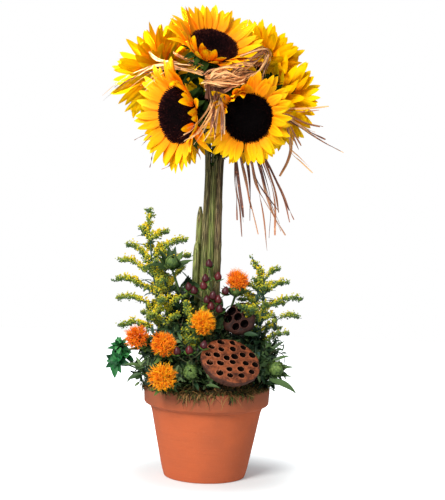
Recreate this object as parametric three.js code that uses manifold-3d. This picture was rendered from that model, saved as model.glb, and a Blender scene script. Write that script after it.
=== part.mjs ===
// A florist's sunflower topiary. Cut sunflowers stand in wet foam in a clay pot, their stems
// bundled into a trunk and their blooms tied into a ball with raffia. Goldenrod, safflowers,
// lotus pods, berries, leaves and moss dress the foot.
// Millimetres. +Z is up, -Y is the front, and the origin is the centre of the pot's underside.
import * as THREE from 'three';
import { mergeVertices } from 'three/addons/utils/BufferGeometryUtils.js';
import Module from 'manifold-3d';

const wasm = await Module();
wasm.setup();

// ---------- driving dimensions ----------

const GAP = 0.4; // kept between pieces that touch

const POT = {
  height: 120, rimRadius: 82.5, rimFoot: 98, bodyTop: 91.5, bodyRadius: 73.3, footRadius: 54.5,
  footRound: 4, wall: 6.5, floor: 9, rimDraft: 1.2, sides: 28,
};
const FOAM = { top: 106, sides: 14 };
const MOSS = { overhang: 89.5, hem: 115.5, crown: 130, rough: 2.2, sides: 16 };

// The trunk is the bundle of stems. Stem centres stand in columns across it and in rows from
// front to back, and draw together towards the top.
const TRUNK = { foot: 118, top: 402, footRadius: 4.6, topRadius: 3.7, neckRadius: 4.2, sides: 5 };
const COLUMNS = { foot: [-12.0, -1.9, 8.0], top: [-7.6, 0.4, 8.2] };
const ROWS = { foot: [-14.8, -5, 4.8], top: [-12.8, -5, 2.8] };

const BLOOM = { petals: 11, calyxDepth: 26, dome: 7, petalFoot: 8, headSides: 10 };

// Where each bloom is, which way it faces (azimuth from the front towards +X, and elevation), its
// disc radius, and how long its petals are and how far they cup forwards. The stem is its column
// and row in the trunk.
const BLOOMS = [
  { name: 'top', at: [-5, -55, 561], azimuth: 20, elevation: 46, disc: 31, petal: 33, cup: 34, stem: [1, 1] },
  { name: 'left', at: [-47, -75, 472], azimuth: -48, elevation: -6, disc: 35, petal: 31, cup: 22,
    stem: [0, 0] },
  { name: 'right', at: [41, -90, 471], azimuth: 6, elevation: -12, disc: 30, petal: 29, cup: 16,
    stem: [1, 0] },
  { name: 'upper_left', at: [-77, 20, 533], azimuth: -138, elevation: 30, disc: 28, petal: 34, cup: 12,
    stem: [0, 1] },
  { name: 'upper_right', at: [62, 22, 546], azimuth: 136, elevation: 34, disc: 28, petal: 32, cup: 12,
    stem: [2, 1] },
  { name: 'lower_right', at: [84, 6, 498], azimuth: 134, elevation: -4, disc: 27, petal: 30, cup: 12,
    stem: [2, 0] },
  { name: 'back_top', at: [-8, 58, 556], azimuth: 176, elevation: 50, disc: 29, petal: 30, cup: 14,
    stem: [1, 2] },
  { name: 'back_right', at: [44, 72, 478], azimuth: 152, elevation: -6, disc: 30, petal: 30, cup: 14,
    stem: [2, 2] },
  { name: 'back_left', at: [-46, 68, 474], azimuth: -146, elevation: -6, disc: 31, petal: 30, cup: 14,
    stem: [0, 2] },
];

// Two stems of the bunch were cut short at the left of the trunk.
const STUBS = [
  { name: 'stub_tall', top: [-16.5, 6, 356], foot: [-21.5, 7, 118], radius: 3.2 },
  { name: 'stub_short', top: [-19.4, -5, 311], foot: [-22.2, -6, 118], radius: 3.2 },
];

// Safflowers and their green buds: the head's centre, its radius and the way it leans.
const SAFFLOWERS = [
  { name: 'safflower_high', at: [35, -40, 263], radius: 14, lean: [0.1, -0.3, 1] },
  { name: 'safflower_middle', at: [-7, -72, 211], radius: 15, lean: [0.1, -0.8, 0.7] },
  { name: 'safflower_far_left', at: [-90, -72, 190], radius: 14.5, lean: [-0.4, -0.7, 0.6] },
  { name: 'safflower_left', at: [-56, -84, 183], radius: 15.5, lean: [-0.1, -0.8, 0.6] },
  { name: 'safflower_low', at: [-55, -97, 144], radius: 16.5, lean: [-0.1, -0.9, 0.5] },
  { name: 'safflower_back_left', at: [-46, 82, 196], radius: 15, lean: [-0.2, 0.7, 0.7] },
  { name: 'safflower_back_right', at: [48, 84, 178], radius: 15, lean: [0.2, 0.8, 0.6] },
];
const BUDS = [
  { name: 'bud_high', at: [-50, -32, 283], radius: 9, lean: [0.1, -0.6, 0.8] },
  { name: 'bud_front', at: [-21, -94, 151], radius: 9.5, lean: [0.1, -0.9, 0.4] },
  { name: 'bud_right', at: [88, -53, 152], radius: 9.5, lean: [0.4, -0.7, 0.5] },
];

// Lotus pods: a flat face with rings of seed holes, on a shallow cone.
const PODS = [
  { name: 'lotus_pod_large', at: [30, -84, 167], radius: 38, depth: 30, facing: [0.22, -0.57, 0.79],
    rings: [1, 5, 9], hole: 3.6, holeDepth: 6, sides: 14 },
  { name: 'lotus_pod_small', at: [38, -42, 216], radius: 22, depth: 26, facing: [-0.35, -0.8, 0.5],
    rings: [1, 5], hole: 4.2, holeDepth: 7, sides: 10 },
];

// Goldenrod: a leaning stem, and plumes from it to each side: how far up the stem each one
// springs, and the point that its tip reaches.
const GOLDENROD = [
  { name: 'goldenrod_left',
    stem: [[-44, -18, 130], [-54, -18, 167], [-63, -16, 206], [-71, -15, 246], [-77, -15, 282], [-84, -15, 351]],
    plumes: [
      [0.3, [-118, -26, 197]], [0.43, [-121, -8, 231]], [0.52, [-126, -24, 257]],
      [0.62, [-120, -6, 281]], [0.7, [-108, -22, 303]], [0.38, [-30, -28, 240]],
      [0.62, [-27, -12, 291]], [0.72, [-33, -18, 311]], [0.82, [-57, -16, 321]],
      [0.46, [-72, 28, 250]], [0.4, [-62, -48, 236]],
    ] },
  { name: 'goldenrod_right',
    stem: [[60, -18, 130], [64, -17, 168], [67, -17, 198], [69, -16, 222], [70, -15, 250], [68, -15, 272],
      [53, -15, 292]],
    plumes: [
      [0.32, [104, -22, 193]], [0.45, [121, -18, 215]], [0.58, [120, -24, 239]],
      [0.7, [101, -14, 259]], [0.8, [88, -18, 277]], [0.6, [36, -24, 236]],
      [0.7, [46, -18, 256]], [0.45, [58, 20, 222]],
    ] },
  { name: 'goldenrod_centre',
    stem: [[-26, -34, 130], [-20, -38, 186], [-12, -40, 214]],
    plumes: [[0.62, [4, -44, 238]], [0.5, [-32, -50, 198]], [0.78, [-30, -44, 232]]] },
  { name: 'goldenrod_back_left',
    stem: [[-44, 40, 130], [-52, 48, 180], [-60, 54, 240], [-66, 58, 300]],
    plumes: [[0.4, [-92, 62, 206]], [0.55, [-100, 44, 246]], [0.7, [-92, 66, 276]],
      [0.5, [-34, 76, 232]], [0.65, [-38, 68, 268]]] },
  { name: 'goldenrod_back_right',
    stem: [[44, 40, 130], [54, 48, 170], [62, 54, 220], [68, 58, 270]],
    plumes: [[0.4, [96, 62, 190]], [0.58, [102, 48, 226]], [0.75, [90, 66, 252]],
      [0.5, [34, 74, 206]], [0.68, [44, 72, 240]]] },
];
const PLUME = { foot: 2.4, belly: 6.4, tip: 2.4, stem: 2.4, sides: 3 };

// Hypericum sprigs: a stem, and berries on short twigs from it.
const SPRIGS = [
  { name: 'hypericum_high', stem: [[2, -30, 124], [3, -34, 190], [2, -36, 250], [-2, -37, 276]],
    berries: [[-2, -38, 283], [-6, -42, 264], [10, -40, 267], [-20, -40, 248], [-27, -36, 252],
      [20, -44, 249], [4, -48, 243], [2, -50, 229], [13, -50, 226]] },
  { name: 'hypericum_low', stem: [[-16, -66, 126], [-18, -78, 150], [-20, -84, 168]],
    berries: [[-5, -90, 184], [-23, -90, 177], [-38, -88, 175]] },
];
const BERRY = 5.2;

// Masses of leaves: centre, half sizes, how uneven, and a seed.
const LEAVES = [
  { name: 'leaves_left', at: [-66, -34, 158], half: [33, 32, 42], rough: 0.22, seed: 1 },
  { name: 'leaves_rosette', at: [-117, -46, 163], half: [16, 16, 19], rough: 0.2, seed: 2 },
  { name: 'leaves_front', at: [-24, -58, 148], half: [34, 24, 32], rough: 0.22, seed: 3 },
  { name: 'leaves_right', at: [78, -12, 158], half: [26, 30, 36], rough: 0.2, seed: 4 },
  { name: 'leaves_back_left', at: [-52, 46, 158], half: [42, 36, 42], rough: 0.24, seed: 6 },
  { name: 'leaves_back_right', at: [50, 48, 156], half: [42, 36, 40], rough: 0.24, seed: 7 },
];

// Raffia: a wad tied across the front under the top bloom with tails from it to the left and
// down the front, and two bundles of loose tails at the right. Each tail leaves its tie at
// `from` and passes through its points.
const RAFFIA = {
  wad: { route: [[-74, -34, 531], [-46, -62, 534], [-16, -84, 521], [14, -88, 526], [42, -84, 536],
    [58, -60, 548]], radius: [3, 4, 8, 12, 9, 4] },
  tie: { width: 2.6, from: [-70, -38, 531], strands: [
    [[-110, -40, 519], [-146, -24, 497]],
    [[-104, -52, 506], [-124, -56, 478]]] },
  front: { width: 3, from: [2, -88, 518], strands: [
    [[-10, -108, 484], [-38, -124, 440]],
    [[-4, -108, 482], [-12, -120, 444]],
    [[4, -112, 480], [4, -124, 438]]] },
  bundles: [
    { name: 'raffia_right', width: 3, from: [46, -26, 446], strands: [
      [[38, -32, 390], [42, -36, 328]],
      [[50, -30, 390], [60, -32, 328]],
      [[58, -30, 380], [73, -32, 308]],
      [[76, -24, 385], [90, -26, 326]],
      [[86, -18, 400], [104, -20, 344]]] },
    { name: 'raffia_far_right', width: 2.6, from: [94, -48, 482], strands: [
      [[120, -52, 462], [168, -50, 434]],
      [[106, -46, 440], [129, -42, 408]],
      [[98, -42, 440], [84, -36, 402]],
      [[122, -44, 470], [146, -36, 454]]] },
  ],
};

// ---------- solids ----------

// Strips a geometry to its positions, joins its shared corners and points its faces outwards.
function closed(geometry) {
  geometry.deleteAttribute('normal');
  geometry.deleteAttribute('uv');
  const merged = mergeVertices(geometry, 1e-4);
  const p = merged.attributes.position;
  const index = merged.index.array;
  const [a, b, c] = [new THREE.Vector3(), new THREE.Vector3(), new THREE.Vector3()];
  let volume = 0;
  for (let i = 0; i < index.length; i += 3) {
    a.fromBufferAttribute(p, index[i]);
    b.fromBufferAttribute(p, index[i + 1]);
    c.fromBufferAttribute(p, index[i + 2]);
    volume += a.dot(b.cross(c));
  }
  if (volume < 0) {
    for (let i = 0; i < index.length; i += 3) {
      [index[i + 1], index[i + 2]] = [index[i + 2], index[i + 1]];
    }
  }
  return merged;
}

function solid(geometry) {
  return new wasm.Manifold(new wasm.Mesh({
    numProp: 3,
    vertProperties: Float32Array.from(geometry.attributes.position.array),
    triVerts: Uint32Array.from(geometry.index.array),
  }));
}

// The same closed surface moved outwards, so that its faces stand about `gap` clear. Each corner
// moves along the mean of its faces' normals, further where they are steep to it.
function swollen(geometry, gap) {
  const grown = geometry.clone();
  const p = grown.attributes.position;
  const index = grown.index.array;
  const around = Array.from({ length: p.count }, () => []);
  const [a, b, c] = Array.from({ length: 3 }, () => new THREE.Vector3());
  for (let i = 0; i < index.length; i += 3) {
    const corners = [index[i], index[i + 1], index[i + 2]];
    a.fromBufferAttribute(p, corners[0]);
    b.fromBufferAttribute(p, corners[1]).sub(a);
    c.fromBufferAttribute(p, corners[2]).sub(a);
    const normal = b.clone().cross(c).normalize();
    corners.forEach((corner) => around[corner].push(normal));
  }
  around.forEach((normals, i) => {
    const mean = normals.reduce((sum, normal) => sum.add(normal), new THREE.Vector3()).normalize();
    const steepest = Math.min(...normals.map((normal) => normal.dot(mean)));
    mean.multiplyScalar(gap / Math.max(0.2, steepest));
    p.setXYZ(i, p.getX(i) + mean.x, p.getY(i) + mean.y, p.getZ(i) + mean.z);
  });
  return solid(grown);
}

function joined(solids) {
  return solids.reduce((sum, next) => sum.add(next));
}

function largest(body) {
  const bodies = body.decompose();
  return bodies.reduce((best, next) => (next.volume() > best.volume() ? next : best));
}

function apart(one, two) {
  const [a, b] = [one.boundingBox(), two.boundingBox()];
  return [0, 1, 2].some((axis) => a.max[axis] < b.min[axis] || b.max[axis] < a.min[axis]);
}

// ---------- shapes ----------

const vector = ([x, y, z]) => new THREE.Vector3(x, y, z);

// A repeatable spread of values between -1 and 1.
function noise(seed) {
  let state = seed * 7919 + 17;
  return () => {
    state = (state * 16807) % 2147483647;
    return (state / 2147483647) * 2 - 1;
  };
}

// A round limb along a smooth route, its radius following the list of radii.
function limb(route, radii, sides, steps, flatten = 1) {
  const curve = new THREE.CatmullRomCurve3(route.map(vector));
  const frames = curve.computeFrenetFrames(steps);
  const shape = closed(new THREE.CylinderGeometry(1, 1, 1, sides, steps));
  const p = shape.attributes.position;
  for (let i = 0; i < p.count; i++) {
    const [across, along, over] = [p.getX(i), p.getY(i) + 0.5, p.getZ(i)];
    const step = Math.round(along * steps);
    const place = along * (radii.length - 1);
    const low = Math.min(Math.floor(place), radii.length - 2);
    const radius = THREE.MathUtils.lerp(radii[low], radii[low + 1], place - low);
    const point = curve.getPointAt(step / steps)
      .addScaledVector(frames.normals[step], across * radius)
      .addScaledVector(frames.binormals[step], -over * radius * flatten);
    p.setXYZ(i, point.x, point.y, point.z);
  }
  return shape;
}

// A closed, uneven ball.
function unevenBall(at, half, rough, seed, detail = 1) {
  const shape = closed(new THREE.IcosahedronGeometry(1, detail));
  const random = noise(seed);
  const waves = Array.from({ length: 6 }, () => ({
    way: new THREE.Vector3(random(), random(), random()).multiplyScalar(5),
    shift: random() * Math.PI,
  }));
  const p = shape.attributes.position;
  const v = new THREE.Vector3();
  for (let i = 0; i < p.count; i++) {
    v.fromBufferAttribute(p, i);
    const wave = waves.reduce((sum, w) => sum + Math.sin(w.way.dot(v) + w.shift), 0) / 3;
    v.multiplyScalar(1 + rough * wave);
    p.setXYZ(i, at[0] + v.x * half[0], at[1] + v.y * half[1], at[2] + v.z * half[2]);
  }
  return shape;
}

// A profile of [radius, height] points turned about an axis, standing at a point and facing a way.
function turned(profile, sides, at, way) {
  const outline = profile.map(([radius, height]) => new THREE.Vector2(radius, height));
  const shape = closed(new THREE.LatheGeometry(outline, sides));
  return facing(shape, at, way);
}

function facing(shape, at, way) {
  const turn = new THREE.Quaternion().setFromUnitVectors(new THREE.Vector3(0, 1, 0), way.clone().normalize());
  return shape.applyQuaternion(turn).translate(...at);
}

// ---------- pot, foam and moss ----------

function potShape() {
  const { height, rimRadius, rimFoot, bodyTop, bodyRadius, footRadius, footRound, wall, floor, rimDraft } = POT;
  const profile = [
    [0, 0], [footRadius - footRound, 0], [footRadius, footRound], [bodyRadius, bodyTop],
    [rimRadius, rimFoot], [rimRadius + rimDraft, height - 2], [rimRadius - 1, height],
    [rimRadius - wall, height - 0.6], [bodyRadius - wall, bodyTop], [footRadius - wall, floor], [0, floor],
  ];
  return turned(profile, POT.sides, [0, 0, 0], new THREE.Vector3(0, 0, 1));
}

function foamShape() {
  const { bodyRadius, bodyTop, footRadius, wall, floor, rimRadius, height } = POT;
  const slack = 2;
  const topShare = (FOAM.top - bodyTop) / (height - bodyTop);
  const topRadius = THREE.MathUtils.lerp(bodyRadius, rimRadius, topShare) - wall - slack;
  const profile = [
    [0, floor + 1], [footRadius - wall - slack, floor + 1], [bodyRadius - wall - slack, bodyTop],
    [topRadius, FOAM.top], [0, FOAM.top],
  ];
  return turned(profile, FOAM.sides, [0, 0, 0], new THREE.Vector3(0, 0, 1));
}

// Moss fills the pot over the foam and hangs over the rim, lowest at the front.
function mossShapes() {
  const { overhang, hem, crown, rough, sides } = MOSS;
  const { height, rimRadius, rimDraft, bodyRadius, wall } = POT;
  const inside = rimRadius - wall - 1.8;
  const outside = rimRadius + rimDraft + 3;
  const profile = [
    [0, FOAM.top + 1], [bodyRadius - wall + 2.4, FOAM.top + 1], [inside, height + 1],
    [outside, height + 1], [outside, hem], [overhang, hem + 1], [overhang - 1, height + 3.5],
    [overhang * 0.66, crown - 2], [0, crown],
  ];
  const mound = turned(profile, sides, [0, 0, 0], new THREE.Vector3(0, 0, 1));
  const p = mound.attributes.position;
  for (let i = 0; i < p.count; i++) {
    if (p.getZ(i) < height + 2) continue;
    const wave = Math.sin(p.getX(i) * 0.09 + 1) + Math.sin(p.getY(i) * 0.11 + p.getX(i) * 0.05);
    p.setZ(i, p.getZ(i) + (rough * wave) / 2);
  }
  const spills = [
    unevenBall([-24, -84, 116], [18, 8, 10], 0.1, 22, 0),
    unevenBall([-66, -54, 119], [13, 11, 8], 0.1, 23, 0),
  ];
  return [mound, ...spills];
}

// ---------- sunflowers ----------

function way(azimuth, elevation) {
  const [a, e] = [THREE.MathUtils.degToRad(azimuth), THREE.MathUtils.degToRad(elevation)];
  return new THREE.Vector3(Math.sin(a) * Math.cos(e), -Math.cos(a) * Math.cos(e), Math.sin(e));
}

// The head: the domed disc in front and the green calyx that narrows to the neck behind.
function headShape({ at, azimuth, elevation, disc }) {
  const profile = [
    [0, -BLOOM.calyxDepth], [TRUNK.neckRadius + 1.5, -BLOOM.calyxDepth], [disc * 0.62, -15],
    [disc + 1.5, -4], [disc * 0.7, BLOOM.dome], [0, BLOOM.dome - 1.5],
  ];
  return turned(profile, BLOOM.headSides, at, way(azimuth, elevation));
}

// The whorl of petals: a ring that thins outwards, drawn out at the tips and in between them.
function petalShape({ at, azimuth, elevation, disc, petal, cup }, seed) {
  const inner = disc + 2;
  const { petalFoot, petals } = BLOOM;
  const lean = THREE.MathUtils.degToRad(cup);
  const reach = inner + petal * Math.cos(lean);
  const profile = [[inner, -petalFoot], [reach, 0], [inner, petalFoot - 3], [inner, -petalFoot]];
  const outline = profile.map(([radius, height]) => new THREE.Vector2(radius, height));
  const ring = closed(new THREE.LatheGeometry(outline, petals * 2));
  const random = noise(seed);
  const lengths = Array.from({ length: petals * 2 }, (_, i) => (i % 2 ? 0.86 : 1) + random() * 0.03);
  const lifts = lengths.map(() => random() * 3);
  const p = ring.attributes.position;
  for (let i = 0; i < p.count; i++) {
    const [x, z] = [p.getX(i), p.getZ(i)];
    const radius = Math.hypot(x, z);
    if (radius < inner + 1) continue;
    const slot = Math.round((Math.atan2(z, x) / (2 * Math.PI)) * petals * 2 + petals * 2) % (petals * 2);
    const stretch = lengths[slot];
    const lift = petal * Math.sin(lean) * stretch + lifts[slot];
    p.setXYZ(i, x * stretch, p.getY(i) + lift, z * stretch);
  }
  return facing(ring, at, way(azimuth, elevation));
}

// A stem rises straight through the trunk and then bends out to its bloom's neck.
function stemShape(bloom) {
  const [column, row] = bloom.stem;
  const axis = way(bloom.azimuth, bloom.elevation);
  const neck = vector(bloom.at).addScaledVector(axis, -BLOOM.calyxDepth - 1);
  const before = neck.clone().addScaledVector(axis, -14);
  const foot = [COLUMNS.foot[column], ROWS.foot[row], TRUNK.foot];
  const top = [COLUMNS.top[column], ROWS.top[row], TRUNK.top];
  const middle = foot.map((value, i) => (value + top[i]) / 2);
  const bend = [top[0] * 0.8 + before.x * 0.2, top[1] * 0.8 + before.y * 0.2, (TRUNK.top + before.z) / 2 + 6];
  const route = [foot, middle, top, bend, before.toArray(), neck.toArray()];
  const { footRadius, topRadius, neckRadius, sides } = TRUNK;
  return limb(route, [footRadius, footRadius, footRadius * 0.9, topRadius, topRadius, neckRadius], sides, 9);
}

// Raffia tails from one tie, each drawn out to a thin end.
function tailShapes({ width, from, strands }) {
  return strands.map((points) => limb([from, ...points], [width, width * 0.8, width * 0.5], 3, 2));
}

// ---------- the flowers and pods at the foot ----------

// A safflower or a bud: the round head, the scaly bulb under it, as long as its tail says, and
// its stem down into the moss.
function thistleShapes({ at, radius, lean }, tail) {
  const axis = vector(lean).normalize();
  const under = vector(at).addScaledVector(axis, -radius * 1.35);
  const head = turned([[0, -radius * tail], [radius * 0.62, -radius * tail * 0.7], [radius, 0],
    [radius * 0.75, radius * 0.7], [0, radius]], 7, at, axis);
  const foot = [under.x * 0.7, under.y * 0.7, TRUNK.foot];
  const top = under.addScaledVector(axis, radius * 0.4).toArray();
  return [head, limb([foot, top], [2.2, 2.4], 4, 1)];
}

function podShape({ at, radius, depth, facing: lean, rings, hole, holeDepth, sides }) {
  const axis = vector(lean).normalize();
  const profile = [
    [0, -depth], [4, -depth], [radius * 0.6, -depth * 0.62], [radius, -depth * 0.15],
    [radius * 0.96, 0], [0, 1.5],
  ];
  const holes = [];
  rings.forEach((count, ring) => {
    const out = (radius * 0.8 * ring) / (rings.length - 1);
    for (let i = 0; i < count; i++) {
      const turn = ((i + ring * 0.3) / count) * Math.PI * 2;
      const cutter = new THREE.CylinderGeometry(hole, hole, holeDepth * 2, 5);
      cutter.translate(Math.cos(turn) * out, 0, Math.sin(turn) * out);
      holes.push(solid(facing(closed(cutter), at, axis)));
    }
  });
  const stalkTop = vector(at).addScaledVector(axis, -depth + 2);
  const stalkFoot = [stalkTop.x * 0.6, stalkTop.y * 0.6, TRUNK.foot];
  const stalk = limb([stalkFoot, stalkTop.toArray()], [3.2, 3.2], 5, 1);
  return { shapes: [turned(profile, sides, at, axis), stalk], holes };
}

function goldenrodShapes({ stem, plumes }) {
  const curve = new THREE.CatmullRomCurve3(stem.map(vector));
  const { foot, belly, tip, sides } = PLUME;
  const main = limb(stem, [PLUME.stem, PLUME.stem, belly * 0.8, belly, tip], sides, 5);
  const arms = plumes.map(([share, end]) => {
    const start = curve.getPointAt(share);
    const middle = start.clone().lerp(vector(end), 0.55);
    middle.z += 3;
    return limb([start.toArray(), middle.toArray(), end], [foot, belly, tip], sides, 2);
  });
  return [main, ...arms];
}

function sprigShapes({ stem, berries }) {
  const main = limb(stem, [2, 1.8, 1.6], 4, 4);
  const curve = new THREE.CatmullRomCurve3(stem.map(vector));
  const parts = berries.flatMap((berry) => {
    const share = THREE.MathUtils.clamp((berry[2] - 12 - stem[0][2]) / (stem.at(-1)[2] - stem[0][2]), 0.2, 0.95);
    const from = curve.getPointAt(share).toArray();
    const fruit = closed(new THREE.OctahedronGeometry(BERRY * 1.1, 0)).translate(...berry);
    return [fruit, limb([from, berry], [1.4, 1.4], 3, 1)];
  });
  return [main, ...parts];
}

// ---------- the assembly ----------

const COLOURS = {
  clay: '#c96a42', foam: '#3f5a2c', moss: '#5d5a2a', stem: '#6f7d3a', head: '#2a140c', petals: '#ffc20e',
  raffia: '#d6a468', goldenrod: '#a9a82c', safflower: '#f58a1a', bud: '#7f9a4e', pod: '#7a4630',
  berry: '#6a1f2a', leaves: '#2f5a30',
};

// Each entry is a piece's name, its colour, its shapes, and any holes cut into it. A piece is
// cut clear of every piece before it, so what bears on others comes first.
function pieces() {
  const list = [
    ['pot', 'clay', [potShape()]],
    ['floral_foam', 'foam', [foamShape()]],
    ['moss', 'moss', mossShapes()],
  ];
  BLOOMS.forEach((bloom) => list.push([`head_${bloom.name}`, 'head', [headShape(bloom)]]));
  BLOOMS.forEach((bloom) => list.push([`stem_${bloom.name}`, 'stem', [stemShape(bloom)]]));
  STUBS.forEach(({ name, top, foot, radius }) => {
    list.push([`stem_${name}`, 'stem', [limb([foot, top], [radius + 0.8, radius], 7, 2)]]);
  });
  const { wad, tie, front, bundles } = RAFFIA;
  const tied = [limb(wad.route, wad.radius, 5, 6), ...tailShapes(tie), ...tailShapes(front)];
  list.push(['raffia_tie', 'raffia', tied]);
  BLOOMS.forEach((bloom, i) => list.push([`petals_${bloom.name}`, 'petals', [petalShape(bloom, i + 1)]]));
  bundles.forEach((bundle) => list.push([bundle.name, 'raffia', tailShapes(bundle)]));
  PODS.forEach((pod) => {
    const { shapes, holes } = podShape(pod);
    list.push([pod.name, 'pod', shapes, holes]);
  });
  LEAVES.forEach(({ name, at, half, rough, seed }) => {
    list.push([name, 'leaves', [unevenBall(at, half, rough, seed)]]);
  });
  SAFFLOWERS.forEach((flower) => list.push([flower.name, 'safflower', thistleShapes(flower, 1.5)]));
  BUDS.forEach((bud) => list.push([bud.name, 'bud', thistleShapes(bud, 1)]));
  SPRIGS.forEach((sprig) => list.push([sprig.name, 'berry', sprigShapes(sprig)]));
  GOLDENROD.forEach((spray) => list.push([spray.name, 'goldenrod', goldenrodShapes(spray)]));
  return list;
}

function meshOf(body, name, colour) {
  const { numProp, vertProperties, triVerts } = body.getMesh();
  const geometry = new THREE.BufferGeometry();
  const positions = new Float32Array((vertProperties.length / numProp) * 3);
  for (let i = 0; i < positions.length / 3; i++) {
    positions.set(vertProperties.subarray(i * numProp, i * numProp + 3), i * 3);
  }
  geometry.setAttribute('position', new THREE.BufferAttribute(positions, 3));
  geometry.setIndex(Array.from(triVerts));
  geometry.computeVertexNormals();
  const mesh = new THREE.Mesh(geometry, new THREE.MeshStandardMaterial({ color: colour, roughness: 0.8 }));
  mesh.name = name;
  return mesh;
}

const topiary = new THREE.Group();
topiary.name = 'sunflower_topiary';
const placed = [];
for (const [name, colour, shapes, holes = []] of pieces()) {
  let body = joined(shapes.map(solid));
  for (const hole of holes) body = body.subtract(hole);
  for (const earlier of placed) {
    if (!apart(body, earlier)) body = body.subtract(earlier);
  }
  body = largest(body);
  placed.push(joined(shapes.map((shape) => swollen(shape, GAP))));
  topiary.add(meshOf(body, name, COLOURS[colour]));
}

export default topiary;
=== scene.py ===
import math

import bpy
import numpy as np
from mathutils import Matrix, Vector


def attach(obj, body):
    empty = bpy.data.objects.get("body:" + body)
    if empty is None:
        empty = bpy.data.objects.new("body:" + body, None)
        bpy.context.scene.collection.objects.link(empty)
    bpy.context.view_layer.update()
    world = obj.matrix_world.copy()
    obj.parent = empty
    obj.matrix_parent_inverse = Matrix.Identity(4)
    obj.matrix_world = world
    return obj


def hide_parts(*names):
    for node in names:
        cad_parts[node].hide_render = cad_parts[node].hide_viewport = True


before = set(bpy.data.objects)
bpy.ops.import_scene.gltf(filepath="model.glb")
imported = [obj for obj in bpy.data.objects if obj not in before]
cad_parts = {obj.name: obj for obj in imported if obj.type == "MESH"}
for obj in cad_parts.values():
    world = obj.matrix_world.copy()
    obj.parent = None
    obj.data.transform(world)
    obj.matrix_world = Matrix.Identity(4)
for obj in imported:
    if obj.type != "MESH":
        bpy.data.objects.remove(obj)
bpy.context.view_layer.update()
bpy.ops.object.select_all(action="DESELECT")


# ---------- view, light and floor ----------
# The arrangement stands on a white sweep, seen from just above the rim of its pot. A large soft
# light hangs at the front left, and the white surroundings fill the shadows.

scene = bpy.context.scene
scene.view_settings.view_transform = "Standard"

EYE = Vector((0.0146, -1.8, 0.41))
LOOK_DOWN = math.radians(3.5)
ROLL = math.radians(1.9)
LENS = 98.65
SENSOR = 36
bpy.ops.object.camera_add(location=EYE)
camera = bpy.context.object
tilted = Matrix.Rotation(math.pi / 2 - LOOK_DOWN, 4, "X")
camera.matrix_world = Matrix.Translation(EYE) @ tilted @ Matrix.Rotation(ROLL, 4, "Z")
camera.data.lens = LENS
camera.data.sensor_width = SENSOR
scene.camera = camera

# The floor glows for the camera only, and more so away from the pot. This painted white hides its cast shadow
# beyond SHADOW_ENDS, so only the soft shadow at the pot's foot shows. Its blue-grey base colour offsets the
# pink light bounced from the clay.
FLOOR_SIZE = 3
SHADOW_STARTS = 0.07
SHADOW_ENDS = 0.22
bpy.ops.mesh.primitive_plane_add(size=FLOOR_SIZE)
floor = bpy.context.object
floor.name = "floor"
sweep = bpy.data.materials.new("white_sweep")
sweep.use_nodes = True
sweep_shader = sweep.node_tree.nodes["Principled BSDF"]
sweep_shader.inputs["Base Color"].default_value = (0.75, 0.8, 0.81, 1)
sweep_shader.inputs["Roughness"].default_value = 1
sweep_shader.inputs["Emission Color"].default_value = (1, 1, 1, 1)
sweep_nodes = sweep.node_tree.nodes
sweep_links = sweep.node_tree.links
sweep_at = sweep_nodes.new("ShaderNodeTexCoord")
sweep_away = sweep_nodes.new("ShaderNodeVectorMath")
sweep_away.operation = "LENGTH"
sweep_fade = sweep_nodes.new("ShaderNodeMapRange")
sweep_fade.interpolation_type = "SMOOTHSTEP"
sweep_fade.inputs["From Min"].default_value = SHADOW_STARTS
sweep_fade.inputs["From Max"].default_value = SHADOW_ENDS
sweep_fade.inputs["To Min"].default_value = 0.1
sweep_fade.inputs["To Max"].default_value = 1.0
sweep_rays = sweep_nodes.new("ShaderNodeLightPath")
sweep_glow = sweep_nodes.new("ShaderNodeMath")
sweep_glow.operation = "MULTIPLY"
sweep_links.new(sweep_at.outputs["Object"], sweep_away.inputs[0])
sweep_links.new(sweep_away.outputs["Value"], sweep_fade.inputs["Value"])
sweep_links.new(sweep_fade.outputs["Result"], sweep_glow.inputs[0])
sweep_links.new(sweep_rays.outputs["Is Camera Ray"], sweep_glow.inputs[1])
sweep_links.new(sweep_glow.outputs[0], sweep_shader.inputs["Emission Strength"])
floor.data.materials.append(sweep)

world = bpy.data.worlds.new("studio")
world.use_nodes = True
scene.world = world
world_nodes = world.node_tree.nodes
world_links = world.node_tree.links
surround = world_nodes["Background"]
surround.inputs["Color"].default_value = (0.93, 0.96, 1, 1)
surround.inputs["Strength"].default_value = 0.5
backdrop = world_nodes.new("ShaderNodeBackground")
backdrop.inputs["Color"].default_value = (1, 1, 1, 1)
seen = world_nodes.new("ShaderNodeLightPath")
shown = world_nodes.new("ShaderNodeMixShader")
world_links.new(seen.outputs["Is Camera Ray"], shown.inputs[0])
world_links.new(surround.outputs[0], shown.inputs[1])
world_links.new(backdrop.outputs[0], shown.inputs[2])
world_links.new(shown.outputs[0], world_nodes["World Output"].inputs["Surface"])


def soft_light(place, target, size, watts, tint, spread=180):
    bpy.ops.object.light_add(type="AREA", location=place)
    light = bpy.context.object
    light.data.size = size
    light.data.energy = watts
    light.data.color = tint
    light.data.spread = math.radians(spread)
    light.rotation_euler = (Vector(target) - Vector(place)).to_track_quat("-Z", "Y").to_euler()


soft_light((-0.95, -1.8, 1.55), (0, 0, 0.35), 0.8, 60, (1, 0.98, 0.95))
soft_light((1.6, -1.6, 0.9), (0, 0, 0.35), 1.2, 4, (1, 1, 1))
soft_light((-1.3, 0.1, 1.5), (0, 0, 0.45), 0.9, 6.4, (1, 1, 1))
soft_light((-1.2, -0.7, 0.5), (-0.13, 0, 0.585), 0.1, 0.65, (1, 1, 1), 8)


# ---------- clay pot ----------
# An azalea pot, thrown in red clay and fired without a glaze. Its heavy rim stands proud of
# the body. It is raised ring by ring from its foot, up the outside and down the inside.


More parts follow.
